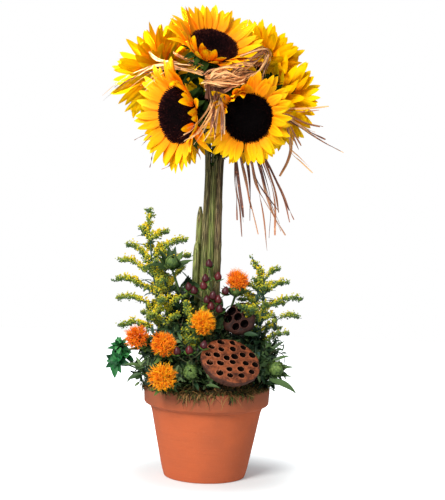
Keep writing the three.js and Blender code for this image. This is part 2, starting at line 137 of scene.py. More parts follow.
class Value:
    """A node's output socket, with arithmetic."""

    def __init__(self, finish, socket):
        self.finish = finish
        self.socket = socket

    def maths(self, operation, first, second):
        return self.finish.node("ShaderNodeMath", {"operation": operation}, {0: first, 1: second})

    def __add__(self, other):
        return self.maths("ADD", self, other)

    def __mul__(self, other):
        return self.maths("MULTIPLY", self, other)

    __radd__ = __add__
    __rmul__ = __mul__


class Finish:
    """A surface finish: a Principled shader and the nodes that feed it."""

    def __init__(self, name, colour, roughness, **settings):
        self.material = bpy.data.materials.new(name)
        self.material.use_nodes = True
        self.tree = self.material.node_tree
        self.shader = self.tree.nodes["Principled BSDF"]
        self.shader.inputs["Base Color"].default_value = (*colour, 1)
        self.shader.inputs["Roughness"].default_value = roughness
        for socket, value in settings.items():
            self.shader.inputs[socket.replace("_", " ")].default_value = value

    def node(self, kind, settings, inputs, output=0):
        node = self.tree.nodes.new(kind)
        for name, value in settings.items():
            setattr(node, name, value)
        for key, value in inputs.items():
            if isinstance(value, Value):
                self.tree.links.new(value.socket, node.inputs[key])
            else:
                node.inputs[key].default_value = value
        return Value(self, node.outputs[output])

    def feed(self, socket, value):
        self.tree.links.new(value.socket, self.shader.inputs[socket])

    def place(self, scale=(1, 1, 1)):
        """Object coordinates, stretched."""
        at = self.node("ShaderNodeTexCoord", {}, {}, "Object")
        return self.node("ShaderNodeMapping", {}, {"Vector": at, "Scale": scale})

    def noise(self, where, scale, detail=4.0, roughness=0.6):
        settings = {"Vector": where, "Scale": scale, "Detail": detail, "Roughness": roughness}
        return self.node("ShaderNodeTexNoise", {}, settings)

    def between(self, factor, low, high):
        """Fades a value from 0 to 1 between two limits."""
        limits = {"Value": factor, "From Min": low, "From Max": high}
        return self.node("ShaderNodeMapRange", {"interpolation_type": "SMOOTHSTEP"}, limits)

    def mix(self, factor, first, second):
        colours = {"Factor": factor, "A": first, "B": second}
        node = self.tree.nodes.new("ShaderNodeMix")
        node.data_type = "RGBA"
        sockets = {"Factor": node.inputs[0], "A": node.inputs[6], "B": node.inputs[7]}
        for key, value in colours.items():
            if isinstance(value, Value):
                self.tree.links.new(value.socket, sockets[key])
            elif key == "Factor":
                sockets[key].default_value = value
            else:
                sockets[key].default_value = (*value, 1)
        return Value(self, node.outputs[2])

    def relief(self, height, depth, strength=1.0):
        bump = self.node("ShaderNodeBump", {}, {"Height": height, "Distance": depth, "Strength": strength})
        self.feed("Normal", bump)


def finished(piece, finishes, slot, *nodes):
    """Gives a piece its finishes, hangs it on the root and hides the solid parts that it replaces."""
    for finish in finishes:
        piece.data.materials.append(finish.material)
    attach(piece, "root")
    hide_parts(*nodes)


MM = 0.001
POT_SIDES = 144
POT_FOOT = 54.5 * MM
INNER_FOOT = POT_FOOT - 3 * MM
POT_OUTLINE = [  # radius and height, up the outside, over the rim and down the inside
    (57.0, 12.0), (64.5, 48.0), (71.9, 86.0), (73.6, 91.0), (74.4, 93.5),
    (81.2, 97.4), (82.3, 99.0), (83.2, 117.0), (82.8, 119.4), (81.0, 120.4),
    (78.2, 120.4), (76.4, 119.0), (71.0, 104.0), (66.8, 91.5), (48.0, 9.5),
]

bpy.ops.mesh.primitive_circle_add(
    vertices=POT_SIDES, radius=INNER_FOOT, fill_type="NGON", location=(0, 0, 0)
)
pot = bpy.context.object
pot.name = "clay_pot"
bpy.ops.object.mode_set(mode="EDIT")
bpy.ops.mesh.select_all(action="SELECT")
radius_now = INNER_FOOT
height_now = 0.0
for radius, height in [(53.6, 0.6), (54.5, 3.0)] + POT_OUTLINE:
    bpy.ops.mesh.extrude_region_move(TRANSFORM_OT_translate={"value": (0, 0, height * MM - height_now)})
    growth = radius * MM / radius_now
    bpy.ops.transform.resize(value=(growth, growth, 1))
    radius_now = radius * MM
    height_now = height * MM
bpy.ops.mesh.select_all(action="SELECT")
bpy.ops.mesh.normals_make_consistent(inside=False)
bpy.ops.object.mode_set(mode="OBJECT")
bpy.ops.object.shade_smooth_by_angle(angle=math.radians(35))

clay = Finish("terracotta", (0.5, 0.11, 0.036), 0.82, Specular_IOR_Level=0.3)
clay_at = clay.place()
blotch = clay.between(clay.noise(clay_at, 14, 5), 0.35, 0.7)
warm = clay.mix(blotch, (0.53, 0.112, 0.036), (0.45, 0.1, 0.036))
grain = clay.noise(clay_at, 900, 3, 0.7)
speck = clay.between(clay.noise(clay_at, 330, 2), 0.62, 0.72)
fired = clay.mix(speck * 0.1, warm, (0.66, 0.25, 0.12))
height_up = clay.node("ShaderNodeSeparateXYZ", {}, {0: clay_at}, "Z")
# Darker towards the rim: partly damp clay, partly painted shade under the overhanging moss.
damp_and_moss_shade = clay.between(height_up + clay.noise(clay_at, 40, 3) * 0.02, 0.094, 0.122)
clay.feed("Base Color", clay.mix(damp_and_moss_shade * 0.75, fired, (0.24, 0.075, 0.036)))
clay.feed("Roughness", clay.between(grain, 0.2, 0.8) * 0.16 + 0.74)
wheel = clay.noise(clay.place((1, 1, 14)), 22, 4)
clay.relief(grain * 0.5 + wheel * 1.4, 0.0006, 0.55)
finished(pot, [clay], "clay", "pot")

foam = Finish("floral_foam", (0.1, 0.18, 0.06), 0.95)
foam_grain = foam.noise(foam.place(), 600, 3)
foam.feed("Base Color", foam.mix(foam_grain, (0.05, 0.1, 0.03), (0.13, 0.22, 0.08)))
foam_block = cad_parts["floral_foam"]
foam_block.data.materials.clear()
foam_block.data.materials.append(foam.material)


# ---------- moss ----------
# Dried sheet moss is tucked over the foam up to the rim, and hangs over it in places. A lumpy
# mound carries thousands of short, curling strands.


def piece_from(name, points, faces, tones=None, smooth=True):
    """One joined mesh. Every face has the same number of corners, and a finish dealt to it."""
    corners = faces.shape[1]
    mesh = bpy.data.meshes.new(name)
    mesh.vertices.add(len(points))
    mesh.vertices.foreach_set("co", np.ascontiguousarray(points, np.float32).ravel())
    mesh.loops.add(faces.size)
    mesh.loops.foreach_set("vertex_index", np.ascontiguousarray(faces, np.int32).ravel())
    mesh.polygons.add(len(faces))
    mesh.polygons.foreach_set("loop_start", np.arange(len(faces), dtype=np.int32) * corners)
    if tones is not None:
        mesh.polygons.foreach_set("material_index", np.asarray(tones, np.int32))
    mesh.polygons.foreach_set("use_smooth", np.full(len(faces), smooth))
    mesh.update(calc_edges=True)
    piece = bpy.data.objects.new(name, mesh)
    scene.collection.objects.link(piece)
    return piece


def merged(parts):
    """Joins lists of (points, faces, tones) into one."""
    starts = np.cumsum([0] + [len(points) for points, _, _ in parts[:-1]])
    return (
        np.vstack([points for points, _, _ in parts]),
        np.vstack([faces + start for (_, faces, _), start in zip(parts, starts)]),
        np.concatenate([tones for _, _, tones in parts]),
    )


def unit(vectors):
    return vectors / np.maximum(np.linalg.norm(vectors, axis=-1, keepdims=True), 1e-9)


def frames_along(direction, upper):
    """Frames whose first axis runs along a blade and whose last is the normal of its upper side."""
    along = unit(direction)
    normal = unit(upper - along * np.sum(upper * along, axis=1, keepdims=True))
    return np.stack([along, np.cross(normal, along), normal], axis=1)


def blades(places, frames, length, width, bend, outline, rows=7, columns=3, fold=0.0, groove=0.0, twist=0.0):
    """Thin blades such as petals, leaves and strands. Each runs out from its place along its
    frame and bends towards its upper side. The outline gives its half width along it."""
    count = len(places)
    share = np.linspace(0, 1, rows)
    side = np.linspace(-1, 1, columns)
    heading = np.asarray(bend)[:, None] * share**1.4
    step = np.asarray(length)[:, None] / (rows - 1)
    run = np.cumsum(np.cos(heading) * step, axis=1) - np.cos(heading[:, :1]) * step
    rise = np.cumsum(np.sin(heading) * step, axis=1) - np.sin(heading[:, :1]) * step
    half = np.asarray(width)[:, None] * outline(share)
    turn = (np.zeros(count) + twist)[:, None, None] * share[:, None]
    across = half[:, :, None] * side
    lift = half[:, :, None] * (np.abs(side) * fold + np.cos(side * 3 * math.pi) * groove)
    flat = across * np.cos(turn) - lift * np.sin(turn)
    proud = across * np.sin(turn) + lift * np.cos(turn)
    local = np.stack(
        [
            run[:, :, None] - proud * np.sin(heading)[:, :, None],
            flat,
            rise[:, :, None] + proud * np.cos(heading)[:, :, None],
        ],
        axis=-1,
    )
    points = places[:, None, None, :] + np.einsum("nrcx,nxk->nrck", local, frames)
    corner = np.arange(count * rows * columns).reshape(count, rows, columns)
    faces = np.stack(
        [corner[:, :-1, :-1], corner[:, 1:, :-1], corner[:, 1:, 1:], corner[:, :-1, 1:]], axis=-1
    )
    face_share = np.broadcast_to((share[:-1, None] + share[1:, None]) / 2, faces.shape[1:3])
    return (
        points.reshape(-1, 3),
        faces.reshape(-1, 4),
        np.tile(face_share.ravel(), count),
        np.repeat(np.arange(count), (rows - 1) * (columns - 1)),
    )


def strap(share):
    return 0.25 + 0.75 * np.sin(math.pi * (0.15 + 0.8 * share))


def swell(points, scale, seed):
    """Smooth unevenness between about -1 and 1."""
    random = np.random.default_rng(seed)
    total = np.zeros(len(points))
    for octave in range(4):
        ways = random.normal(size=(3, 3)) * scale * 1.7**octave
        shifts = random.uniform(0, 2 * math.pi, 3)
        total += np.sin(points @ ways.T + shifts).sum(axis=1) * 0.5**octave
    return total / 3.5


def shades(name, colours, roughness, gloss=0.5):
    """One plain finish for each colour."""
    finishes = []
    for tint in colours:
        finishes.append(Finish(f"{name}_{len(finishes)}", tint, roughness, Specular_IOR_Level=gloss))
    return finishes


MOSS_EDGE = 74.0 * MM
MOSS_TOP = 127.0 * MM
MOSS_RIM = 119.5 * MM
moss_random = np.random.default_rng(3)

bpy.ops.mesh.primitive_grid_add(x_subdivisions=96, y_subdivisions=96, size=2, location=(0, 0, 0))
moss_bed = bpy.context.object
moss_bed.name = "moss_bed"
bed_points = np.array([vertex.co for vertex in moss_bed.data.vertices])
square = np.max(np.abs(bed_points[:, :2]), axis=1)
ring = np.linalg.norm(bed_points[:, :2], axis=1)
disc_points = bed_points[:, :2] * (square / np.maximum(ring, 1e-9))[:, None] * MOSS_EDGE
bed_height = MOSS_RIM + (MOSS_TOP - MOSS_RIM) * (1 - square**4)
bed_height += swell(np.column_stack([disc_points, bed_height]), 90, 5) * 2.4 * MM * (1 - square**8)
bed_points = np.column_stack([disc_points, bed_height - 12 * MM * (square > 0.999)])
moss_bed.data.vertices.foreach_set("co", bed_points.astype(np.float32).ravel())
moss_bed.data.polygons.foreach_set("use_smooth", np.ones(len(moss_bed.data.polygons), bool))
moss_bed.data.update()
# The bed is given far darker browns than its strands: painted shade deep among them.
moss_dark = Finish("moss_bed", (0.05, 0.045, 0.02), 0.95)
bed_tint = moss_dark.noise(moss_dark.place(), 260, 4)
moss_dark.feed("Base Color", moss_dark.mix(bed_tint, (0.02, 0.022, 0.008), (0.1, 0.075, 0.03)))
moss_dark.relief(bed_tint, 0.003)
finished(moss_bed, [moss_dark], "moss", "moss")

strand_count = 9000
strand_turn = moss_random.uniform(0, 2 * math.pi, strand_count)
strand_out = np.sqrt(moss_random.uniform(0.12, 1, strand_count)) * MOSS_EDGE
strand_height = MOSS_RIM + (MOSS_TOP - MOSS_RIM) * (1 - (strand_out / MOSS_EDGE) ** 4)
strand_height = strand_height + moss_random.normal(0, 1.4, strand_count) * MM
strand_place = np.column_stack([
    np.cos(strand_turn) * strand_out, np.sin(strand_turn) * strand_out, strand_height
])
over_rim = moss_random.random(strand_count) < 0.42
rim_count = over_rim.sum()
outward = np.column_stack([np.cos(strand_turn), np.sin(strand_turn), np.zeros(strand_count)])
strand_place[over_rim] = outward[over_rim] * moss_random.uniform(73, 82, rim_count)[:, None] * MM
strand_place[over_rim, 2] = moss_random.uniform(120.3, 122.5, rim_count) * MM
strand_way = unit(moss_random.normal(size=(strand_count, 3)) * [1, 1, 0.35] + outward * 0.5)
rim_scatter = moss_random.normal(size=(rim_count, 3)) * [1.7, 1.7, 0.7]
strand_way[over_rim] = unit(outward[over_rim] * 1.1 + rim_scatter)
strand_up = np.tile([0.0, 0.0, 1.0], (strand_count, 1)) + moss_random.normal(size=(strand_count, 3)) * 0.3
drape = np.full(strand_count, 0.22)
MOSS_CLUMPS = [  # degrees round the rim, breadth in degrees, and how far it hangs
    (-172, 13, 1.2), (-128, 6, 1.1), (-108, 8, 1.9), (-93, 6, 1.6), (-82, 4, 0.9), (-68, 4, 2.2),
    (-50, 9, 1.2), (60, 25, 0.8), (150, 18, 1.0),
]
for clump, breadth, reach in MOSS_CLUMPS:
    away = (np.degrees(strand_turn) - clump + 180) % 360 - 180
    drape += reach * np.exp(-((away / breadth) ** 2))
strand_length = moss_random.uniform(4, 10, strand_count) * MM
strand_length[over_rim] *= 0.45 + 1.3 * drape[over_rim] * moss_random.uniform(0.4, 1.1, rim_count)
strand_bend = moss_random.normal(-0.2, 0.9, strand_count)
strand_bend[over_rim] = moss_random.uniform(-3.8, -0.5, rim_count)
moss_points, moss_faces, _, moss_which = blades(
    strand_place, frames_along(strand_way, strand_up), strand_length,
    moss_random.uniform(0.35, 0.85, strand_count) * MM, strand_bend, strap, rows=6, columns=2,
)
moss_tones = moss_random.integers(0, 5, strand_count)[moss_which]
moss = piece_from("moss_strands", moss_points, moss_faces, moss_tones)
MOSS_COLOURS = [
    (0.12, 0.09, 0.025), (0.24, 0.13, 0.04), (0.08, 0.11, 0.025), (0.32, 0.17, 0.06), (0.03, 0.022, 0.01),
]
finished(moss, shades("moss", MOSS_COLOURS, 0.85, 0.2), "moss", "moss")


# ---------- sunflower stems ----------
# Nine cut stems stand in the foam as one bundle and part at the top to carry their blooms, with
# two more cut short beside them. Ribbed, green below and browning towards the neck.


def smooth_route(route, count):
    """A Catmull-Rom curve through a list of points, at even shares of its length."""
    knots = np.asarray(route, float)
    knots = np.vstack([2 * knots[0] - knots[1], knots, 2 * knots[-1] - knots[-2]])
    t = np.linspace(0, 1, 24, endpoint=False)[:, None]
    spans = []
    for a, b, c, d in zip(knots[:-3], knots[1:-2], knots[2:-1], knots[3:]):
        spans.append(
            0.5 * (2 * b + (c - a) * t + (2 * a - 5 * b + 4 * c - d) * t**2 + (3 * b - 3 * c + d - a) * t**3)
        )
    fine = np.vstack([*spans, knots[-2:-1]])
    reach = np.concatenate([[0], np.cumsum(np.linalg.norm(np.diff(fine, axis=0), axis=1))])
    even = np.linspace(0, reach[-1], count)
    return np.column_stack([np.interp(even, reach, fine[:, axis]) for axis in range(3)])


def carried_frames(line):
    """Two directions across a line at each of its points, carried along it without turning."""
    along = unit(np.gradient(line, axis=0))
    first = np.cross(along[0], [0.3, 0.9, 0.1])
    sides = [unit(first)]
    for way in along[1:]:
        sides.append(unit(sides[-1] - way * np.dot(sides[-1], way)))
    sides = np.array(sides)
    return sides, np.cross(along, sides)


def ring_quads(rings, sides):
    """Quads that join each ring of points to the next."""
    corner = np.arange(rings * sides).reshape(rings, sides)
    around = np.roll(corner, -1, axis=1)
    return np.stack([corner[:-1], around[:-1], around[1:], corner[1:]], axis=-1).reshape(-1, 4)


def tube(line, radius, sides, tone=0, ribs=0, rib_depth=0.0):
    """A closed tube of quads along a line, ribbed if told so."""
    count = len(line)
    one, two = carried_frames(line)
    angle = np.linspace(0, 2 * math.pi, sides, endpoint=False)
    ribbed = 1 + rib_depth * np.cos(angle * ribs)
    girth = np.broadcast_to(np.asarray(radius, float), (count,))[:, None] * ribbed
    points = (
        line[:, None, :]
        + one[:, None, :] * (girth * np.cos(angle))[:, :, None]
        + two[:, None, :] * (girth * np.sin(angle))[:, :, None]
    )
    half = sides // 2
    caps = []
    for end, turned in ((np.arange(sides), True), (np.arange(sides) + (count - 1) * sides, False)):
        for i in range(half - 1):
            cap = [end[i], end[i + 1], end[sides - 2 - i], end[sides - 1 - i]]
            caps.append(cap[::-1] if turned else cap)
    faces = np.vstack([ring_quads(count, sides), np.array(caps)])
    return points.reshape(-1, 3), faces, np.full(len(faces), tone)


TRUNK_FOOT = 112.0 * MM
TRUNK_TOP = 402.0 * MM
FOOT_COLUMNS = np.array([-12.0, -1.9, 8.0]) * MM
TOP_COLUMNS = np.array([-7.6, 0.4, 8.2]) * MM
FOOT_ROWS = np.array([-14.8, -5.0, 4.8]) * MM
TOP_ROWS = np.array([-12.8, -5.0, 2.8]) * MM
STEM_FOOT = 4.9 * MM
STEM_TOP = 3.9 * MM
NECK = 4.3 * MM
STEM_OF = {  # bloom: its stem's column and row in the bundle
    "top": (1, 1), "left": (0, 0), "right": (1, 0), "upper_left": (0, 1), "upper_right": (2, 1),
    "lower_right": (2, 0), "back_top": (1, 2), "back_right": (2, 2), "back_left": (0, 2),
}


def bloom_of(name):
    """Where a bloom's disc is, which way it faces, and the disc's radius, from its solid head."""
    corners = np.array([vertex.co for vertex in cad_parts[f"head_{name}"].data.vertices])
    corners = np.unique(corners.round(6), axis=0)
    middle = corners.mean(axis=0)
    spread, ways = np.linalg.eigh(np.cov((corners - middle).T))
    gaps = [abs(spread[0] - (spread[1] + spread[2]) / 2), abs(spread[2] - (spread[0] + spread[1]) / 2)]
    axis = ways[:, 0] if gaps[0] > gaps[1] else ways[:, 2]
    depth = (corners - middle) @ axis
    out = np.linalg.norm((corners - middle) - np.outer(depth, axis), axis=1)
    if depth[out > out.max() * 0.8].mean() < (depth.max() + depth.min()) / 2:
        axis = -axis
        depth = -depth
    return middle + axis * (depth.max() - 7 * MM), axis, out.max() - 1.5 * MM


BLOOMS = {name: bloom_of(name) for name in STEM_OF}
STEM_BROWN = {
    "top": 0.5, "left": 0.55, "right": 0.1, "upper_left": 0.7, "upper_right": 0.9, "lower_right": 1.0,
    "back_top": 0.4, "back_right": 0.2, "back_left": 0.6, "stub_tall": 0.25, "stub_short": 0.0,
}


CUT_STEMS = {  # foot, top and radius
    "stub_tall": ([-20.5, 5, 112], [-16.2, 4, 356], 4.3),
    "stub_short": ([-22.0, -6, 112], [-19.2, -5, 311], 4.3),
}


def stem_finish(name):
    """Green stem with brown streaks, browner towards the top, with near-black streaks of painted shade for
    the gaps between the bundle's stems. Cut stubs get painted light as a paler green.
    """
    brown = STEM_BROWN[name]
    finish = Finish(f"stem_{name}_skin", (0.2, 0.22, 0.07), 0.65, Specular_IOR_Level=0.2)
    streak = finish.noise(finish.place((1, 1, 0.035)), 620, 3, 0.65)
    line = finish.noise(finish.place((1, 1, 0.02)), 1500, 2, 0.5)
    patch = finish.noise(finish.place((1, 1, 0.35)), 60, 3)
    height = finish.node("ShaderNodeSeparateXYZ", {}, {0: finish.place()}, "Z")
    high = finish.between(height + patch * 0.12, 0.36 - brown * 0.1, 0.48 - brown * 0.1)
    green = finish.mix(finish.between(streak, 0.4, 0.6), (0.045, 0.07, 0.012), (0.23, 0.285, 0.065))
    # The cut stubs are painted paler: painted light that offsets the shadow the goldenrod casts on them.
    if name in CUT_STEMS:
        green = finish.mix(0.62, green, (0.44, 0.5, 0.15))
    dry = finish.mix(finish.between(streak, 0.4, 0.64), (0.035, 0.019, 0.012), (0.17, 0.105, 0.05))
    browning = finish.between(streak * 0.5 + patch * 0.7, 0.64 - brown * 0.12, 0.78 - brown * 0.12)
    toned = finish.mix(browning * 0.75, green, dry)
    whole = finish.mix(high * (0.45 + 0.4 * brown), toned, dry)
    lined = finish.mix(finish.between(line, 0.57, 0.64) * 0.75, whole, (0.4, 0.34, 0.15))
    # Painted shade: near-black streaks stand for the dark gaps between stems in the bundle.
    gaps = finish.between(line, 0.47, 0.4) * 0.9
    finish.feed("Base Color", finish.mix(gaps, lined, (0.014, 0.009, 0.005)))
    finish.relief(streak + patch * 0.6, 0.0009, 0.8)
    return finish


stem_random = np.random.default_rng(11)
for name, (column, row) in STEM_OF.items():
    centre, axis, _ = BLOOMS[name]
    neck = centre - axis * 25 * MM
    before = neck - axis * 14 * MM
    foot = np.array([FOOT_COLUMNS[column], FOOT_ROWS[row], TRUNK_FOOT])
    top = np.array([TOP_COLUMNS[column], TOP_ROWS[row], TRUNK_TOP])
    bend = np.array([*(top[:2] * 0.8 + before[:2] * 0.2), (TRUNK_TOP + before[2]) / 2 + 6 * MM])
    line = smooth_route([foot, (foot + top) / 2, top, bend, before, neck], 120)
    share = np.linspace(0, 1, 120)
    thickness = [STEM_FOOT, STEM_FOOT * 0.97, STEM_TOP, STEM_TOP * 0.9, NECK]
    girth = np.interp(share, [0, 0.5, 0.72, 0.9, 1], thickness)
    for scar in stem_random.uniform(0.1, 0.8, 3):
        girth = girth * (1 + 0.1 * np.exp(-(((share - scar) / 0.012) ** 2)))
    points, faces, tones = tube(line, girth, 28, ribs=9, rib_depth=0.05)
    stem = piece_from(f"stem_{name}_ribbed", points, faces, tones)
    finished(stem, [stem_finish(name)], "stem", f"stem_{name}")

for name, (foot, top, radius) in CUT_STEMS.items():
    line = smooth_route([np.array(foot) * MM, (np.array(foot) + top) / 2 * MM, np.array(top) * MM], 80)
    ragged = np.interp(np.linspace(0, 1, 80), [0, 0.93, 0.97, 1], [1.0, 1.0, 0.75, 0.35])
    points, faces, tones = tube(line, ragged * radius * MM, 24, ribs=8, rib_depth=0.06)
    stem = piece_from(f"stem_{name}_ribbed", points, faces, tones)
    finished(stem, [stem_finish(name)], "stem", f"stem_{name}")


# ---------- sunflower blooms ----------
# Each bloom has two whorls of long petals round a disc of small dark florets, on a green calyx
# with pointed bracts. Petals are orange where they leave the disc and yellow to their tips.

PETAL_TONES = 12
petal_orange = np.array([1.0, 0.28, 0.002])
petal_yellow = np.array([1.0, 0.64, 0.0])
steps = np.linspace(0, 1, PETAL_TONES)
petal_tints = [tuple(petal_orange * (1 - step) + petal_yellow * step) for step in steps]
petal_finishes = shades("petal", petal_tints, 0.6, 0.1)
DISC_COLOURS = [
    (0.002, 0.0008, 0.001), (0.006, 0.0014, 0.002), (0.017, 0.0035, 0.004), (0.045, 0.01, 0.008),
    (0.1, 0.03, 0.016),
]
disc_finishes = shades("floret", DISC_COLOURS, 0.85, 0.06)
BRACT_COLOURS = [(0.012, 0.026, 0.005), (0.028, 0.055, 0.01), (0.06, 0.1, 0.02)]
bract_finishes = shades("bract", BRACT_COLOURS, 0.7, 0)

PETAL_SHAPES = {  # petal length, cup, the side painted orange as shade, and where petals stand up: (angle, spread, lean, bend)
    "top": (40, 29, 125, [(218, 48, 30, 0.3)]),
    "left": (41, 18, 125, [(5, 52, 30, 0.55), (65, 18, 22, 0.5)]),
    "right": (34, 12, 95, [(120, 38, 34, 1.3), (168, 14, 22, 0.6), (0, 38, 34, -0.5)]),
    "upper_left": (46, 12, 60, []),
    "upper_right": (40, 10, 120, []),
    "lower_right": (42, 8, 140, []),
    "back_top": (36, 14, 90, []),
    "back_right": (36, 14, 90, []),
    "back_left": (36, 14, 90, []),
}
GOLDEN_ANGLE = math.pi * (3 - math.sqrt(5))


def petal_outline(share):
    return (0.4 + 0.6 * np.sin(math.pi / 2 * np.clip(share / 0.42, 0, 1))) * (1 - share**3) ** 0.75 + 0.04


def leaf_outline(share):
    return 0.06 + 0.94 * np.sin(math.pi * (0.04 + 0.94 * share) ** 0.8)


def spun(axis):
    """A bloom's right and up, as seen by someone that it faces."""
    right = unit(np.cross(-axis, [0, 0, 1]))
    return right, np.cross(right, -axis)


def rays(turn, one, two):
    """Directions at angles round a centre, in the plane of the two given."""
    return np.outer(np.cos(turn), one) + np.outer(np.sin(turn), two)


PETAL_WHORLS = [(24, -5, 1.0, 0), (22, 5, 0.97, 0), (18, 15, 0.86, 0)]  # petals, lift, length, how far back
SEEN_BEHIND = ("upper_left", "upper_right", "lower_right")
BACK_WHORLS = [(20, -18, 1.12, 7), (15, -26, 1.16, 13)]
USUAL_LIGHT = -2.8  # painted light: how far a bloom's petals lean from orange to yellow, yellower where the bloom is painted as better lit
# Painted light for each bloom: blooms that should look brighter are given yellower tones, the others oranger
# ones.
PETAL_LIGHT = {"left": -3.6, "upper_left": 1.6, "upper_right": 1.8, "lower_right": 1.8}


def petals_of(name, seed):
    centre, axis, radius = BLOOMS[name]
    right, up = spun(axis)
    random = np.random.default_rng(seed)
    length, cup, orange, curls = PETAL_SHAPES[name]
    rows, columns = 13, 7
    painted_shade_depth = 0.9 if name in SEEN_BEHIND else 3.0
    parts = []
    for count, lift, reach, back in PETAL_WHORLS + BACK_WHORLS * (name in SEEN_BEHIND):
        angle = np.linspace(0, 2 * math.pi, count, endpoint=False) + random.normal(0, 0.09, count)
        out = rays(angle, right, up)
        lean = np.radians(cup + lift + random.normal(0, 5, count))
        bend = random.normal(-0.2, 0.28, count)
        size = length * reach * random.uniform(0.88, 1.07, count)
        for toward, spread, tilt, curl in curls:
            away = (np.degrees(angle) - toward + 180) % 360 - 180
            near = np.exp(-((away / spread) ** 2))
            lean += near * np.radians(tilt + random.normal(0, 15, count))
            bend += near * (curl + random.normal(0, 0.25, count))
            size *= 1 - 0.16 * near
        way = out * np.cos(lean)[:, None] + np.outer(np.sin(lean), axis)
        upper = -out * np.sin(lean)[:, None] + np.outer(np.cos(lean), axis)
        place = centre + out * radius * (0.96 - 0.045 * back) - axis * (3 - lift * 0.15 + back) * MM
        points, faces, share, which = blades(
            place, frames_along(way, upper), size * MM, random.uniform(5.2, 6.8, count) * MM, bend,
            petal_outline, rows=rows, columns=columns, fold=random.uniform(0.05, 0.35), groove=0.11,
            twist=random.normal(0, 0.35, count),
        )
        streak = random.normal(0, 0.8, (count, 1, columns - 1))
        streak = np.broadcast_to(streak, (count, rows - 1, columns - 1)).ravel()
        # Painted shade: petals on each bloom's shaded side are given darker orange tones.
        toward_painted_shade = np.clip(np.cos(angle - math.radians(orange)), 0, 1)
        shade = painted_shade_depth * toward_painted_shade + random.normal(0, 1.0, count)
        light = PETAL_LIGHT.get(name, USUAL_LIGHT)
        yellower = (share**0.75 * 1.1 - 0.02) * PETAL_TONES
        tones = np.clip(yellower + light - shade[which] + streak, 0, PETAL_TONES - 1)
        parts.append((points, faces, tones.astype(int)))
    return merged(parts)


TURNED_OVER = [0, 3, 2, 1]
FLORETS = 1100
FLORET_FACES = 9
DISC_WARMTH = {"top": 1.1, "left": 0.6, "right": -0.9}


def disc_of(name, seed):
    centre, axis, radius = BLOOMS[name]
    right, up = spun(axis)
    random = np.random.default_rng(seed)
    count = FLORETS
    index = np.arange(count) + 0.5
    out = radius * 1.03 * np.sqrt(index / count)
    angle = index * GOLDEN_ANGLE
    share = out / radius
    dome = (6.5 * (1 - share**4) - 3.2 * np.exp(-((share / 0.42) ** 2))) * MM
    flat = rays(angle, right, up)
    place = centre + flat * out[:, None] + np.outer(dome, axis)
    ring = np.exp(-(((share - 0.78) / 0.22) ** 2))
    tall = (1.0 + 2.4 * ring + 0.5 * random.random(count)) * MM
    tall[share > 0.95] *= 1.5
    flare = 0.15 + 0.9 * np.clip(share - 0.85, 0, 1) * 5
    lean = unit(axis + flat * flare[:, None] + random.normal(0, 0.16, (count, 3)))
    wide = radius / math.sqrt(count) * 0.95
    corners = [(1, 0), (0, 1), (-1, 0), (0, -1)]
    base = [place + (right * x + up * y) * wide for x, y in corners]
    waist = [place + lean * tall[:, None] * 0.6 + (right * x + up * y) * wide * 0.5 for x, y in corners]
    crown = [place + lean * tall[:, None] + (right * x + up * y) * wide * 0.16 for x, y in corners]
    points = np.stack([*base, *waist, *crown], axis=1)
    sides = [(i, (i + 1) % 4) for i in range(4)]
    cells = [[a + low, b + low, b + low + 4, a + low + 4] for low in (0, 4) for a, b in sides]
    cells.append([8, 9, 10, 11])
    faces = (np.arange(count)[:, None, None] * 12 + np.array(cells)).reshape(-1, 4)
    tone = np.clip(share * 2.3 + DISC_WARMTH.get(name, 0) + random.normal(0, 0.55, count), 0, 3).astype(int)
    tones = np.repeat(tone, FLORET_FACES).reshape(count, FLORET_FACES)
    bright = (share > 0.55) & (random.random(count) < 0.3)
    tones[bright, 4:] += 1
    florets = (points.reshape(-1, 3), faces, tones.ravel())
    rings, spokes = 10, 48
    ring_share = np.linspace(0.02, 1.0, rings)
    turn = np.linspace(0, 2 * math.pi, spokes, endpoint=False)
    level = (6.0 * (1 - ring_share**4) - 3.2 * np.exp(-((ring_share / 0.42) ** 2)) - 0.3) * MM
    spoke = rays(turn, right, up)
    dome_points = centre + spoke[None] * (ring_share * radius)[:, None, None] + axis * level[:, None, None]
    skin = ring_quads(rings, spokes)[:, TURNED_OVER]
    return merged([florets, (dome_points.reshape(-1, 3), skin, np.zeros(len(skin), int))])


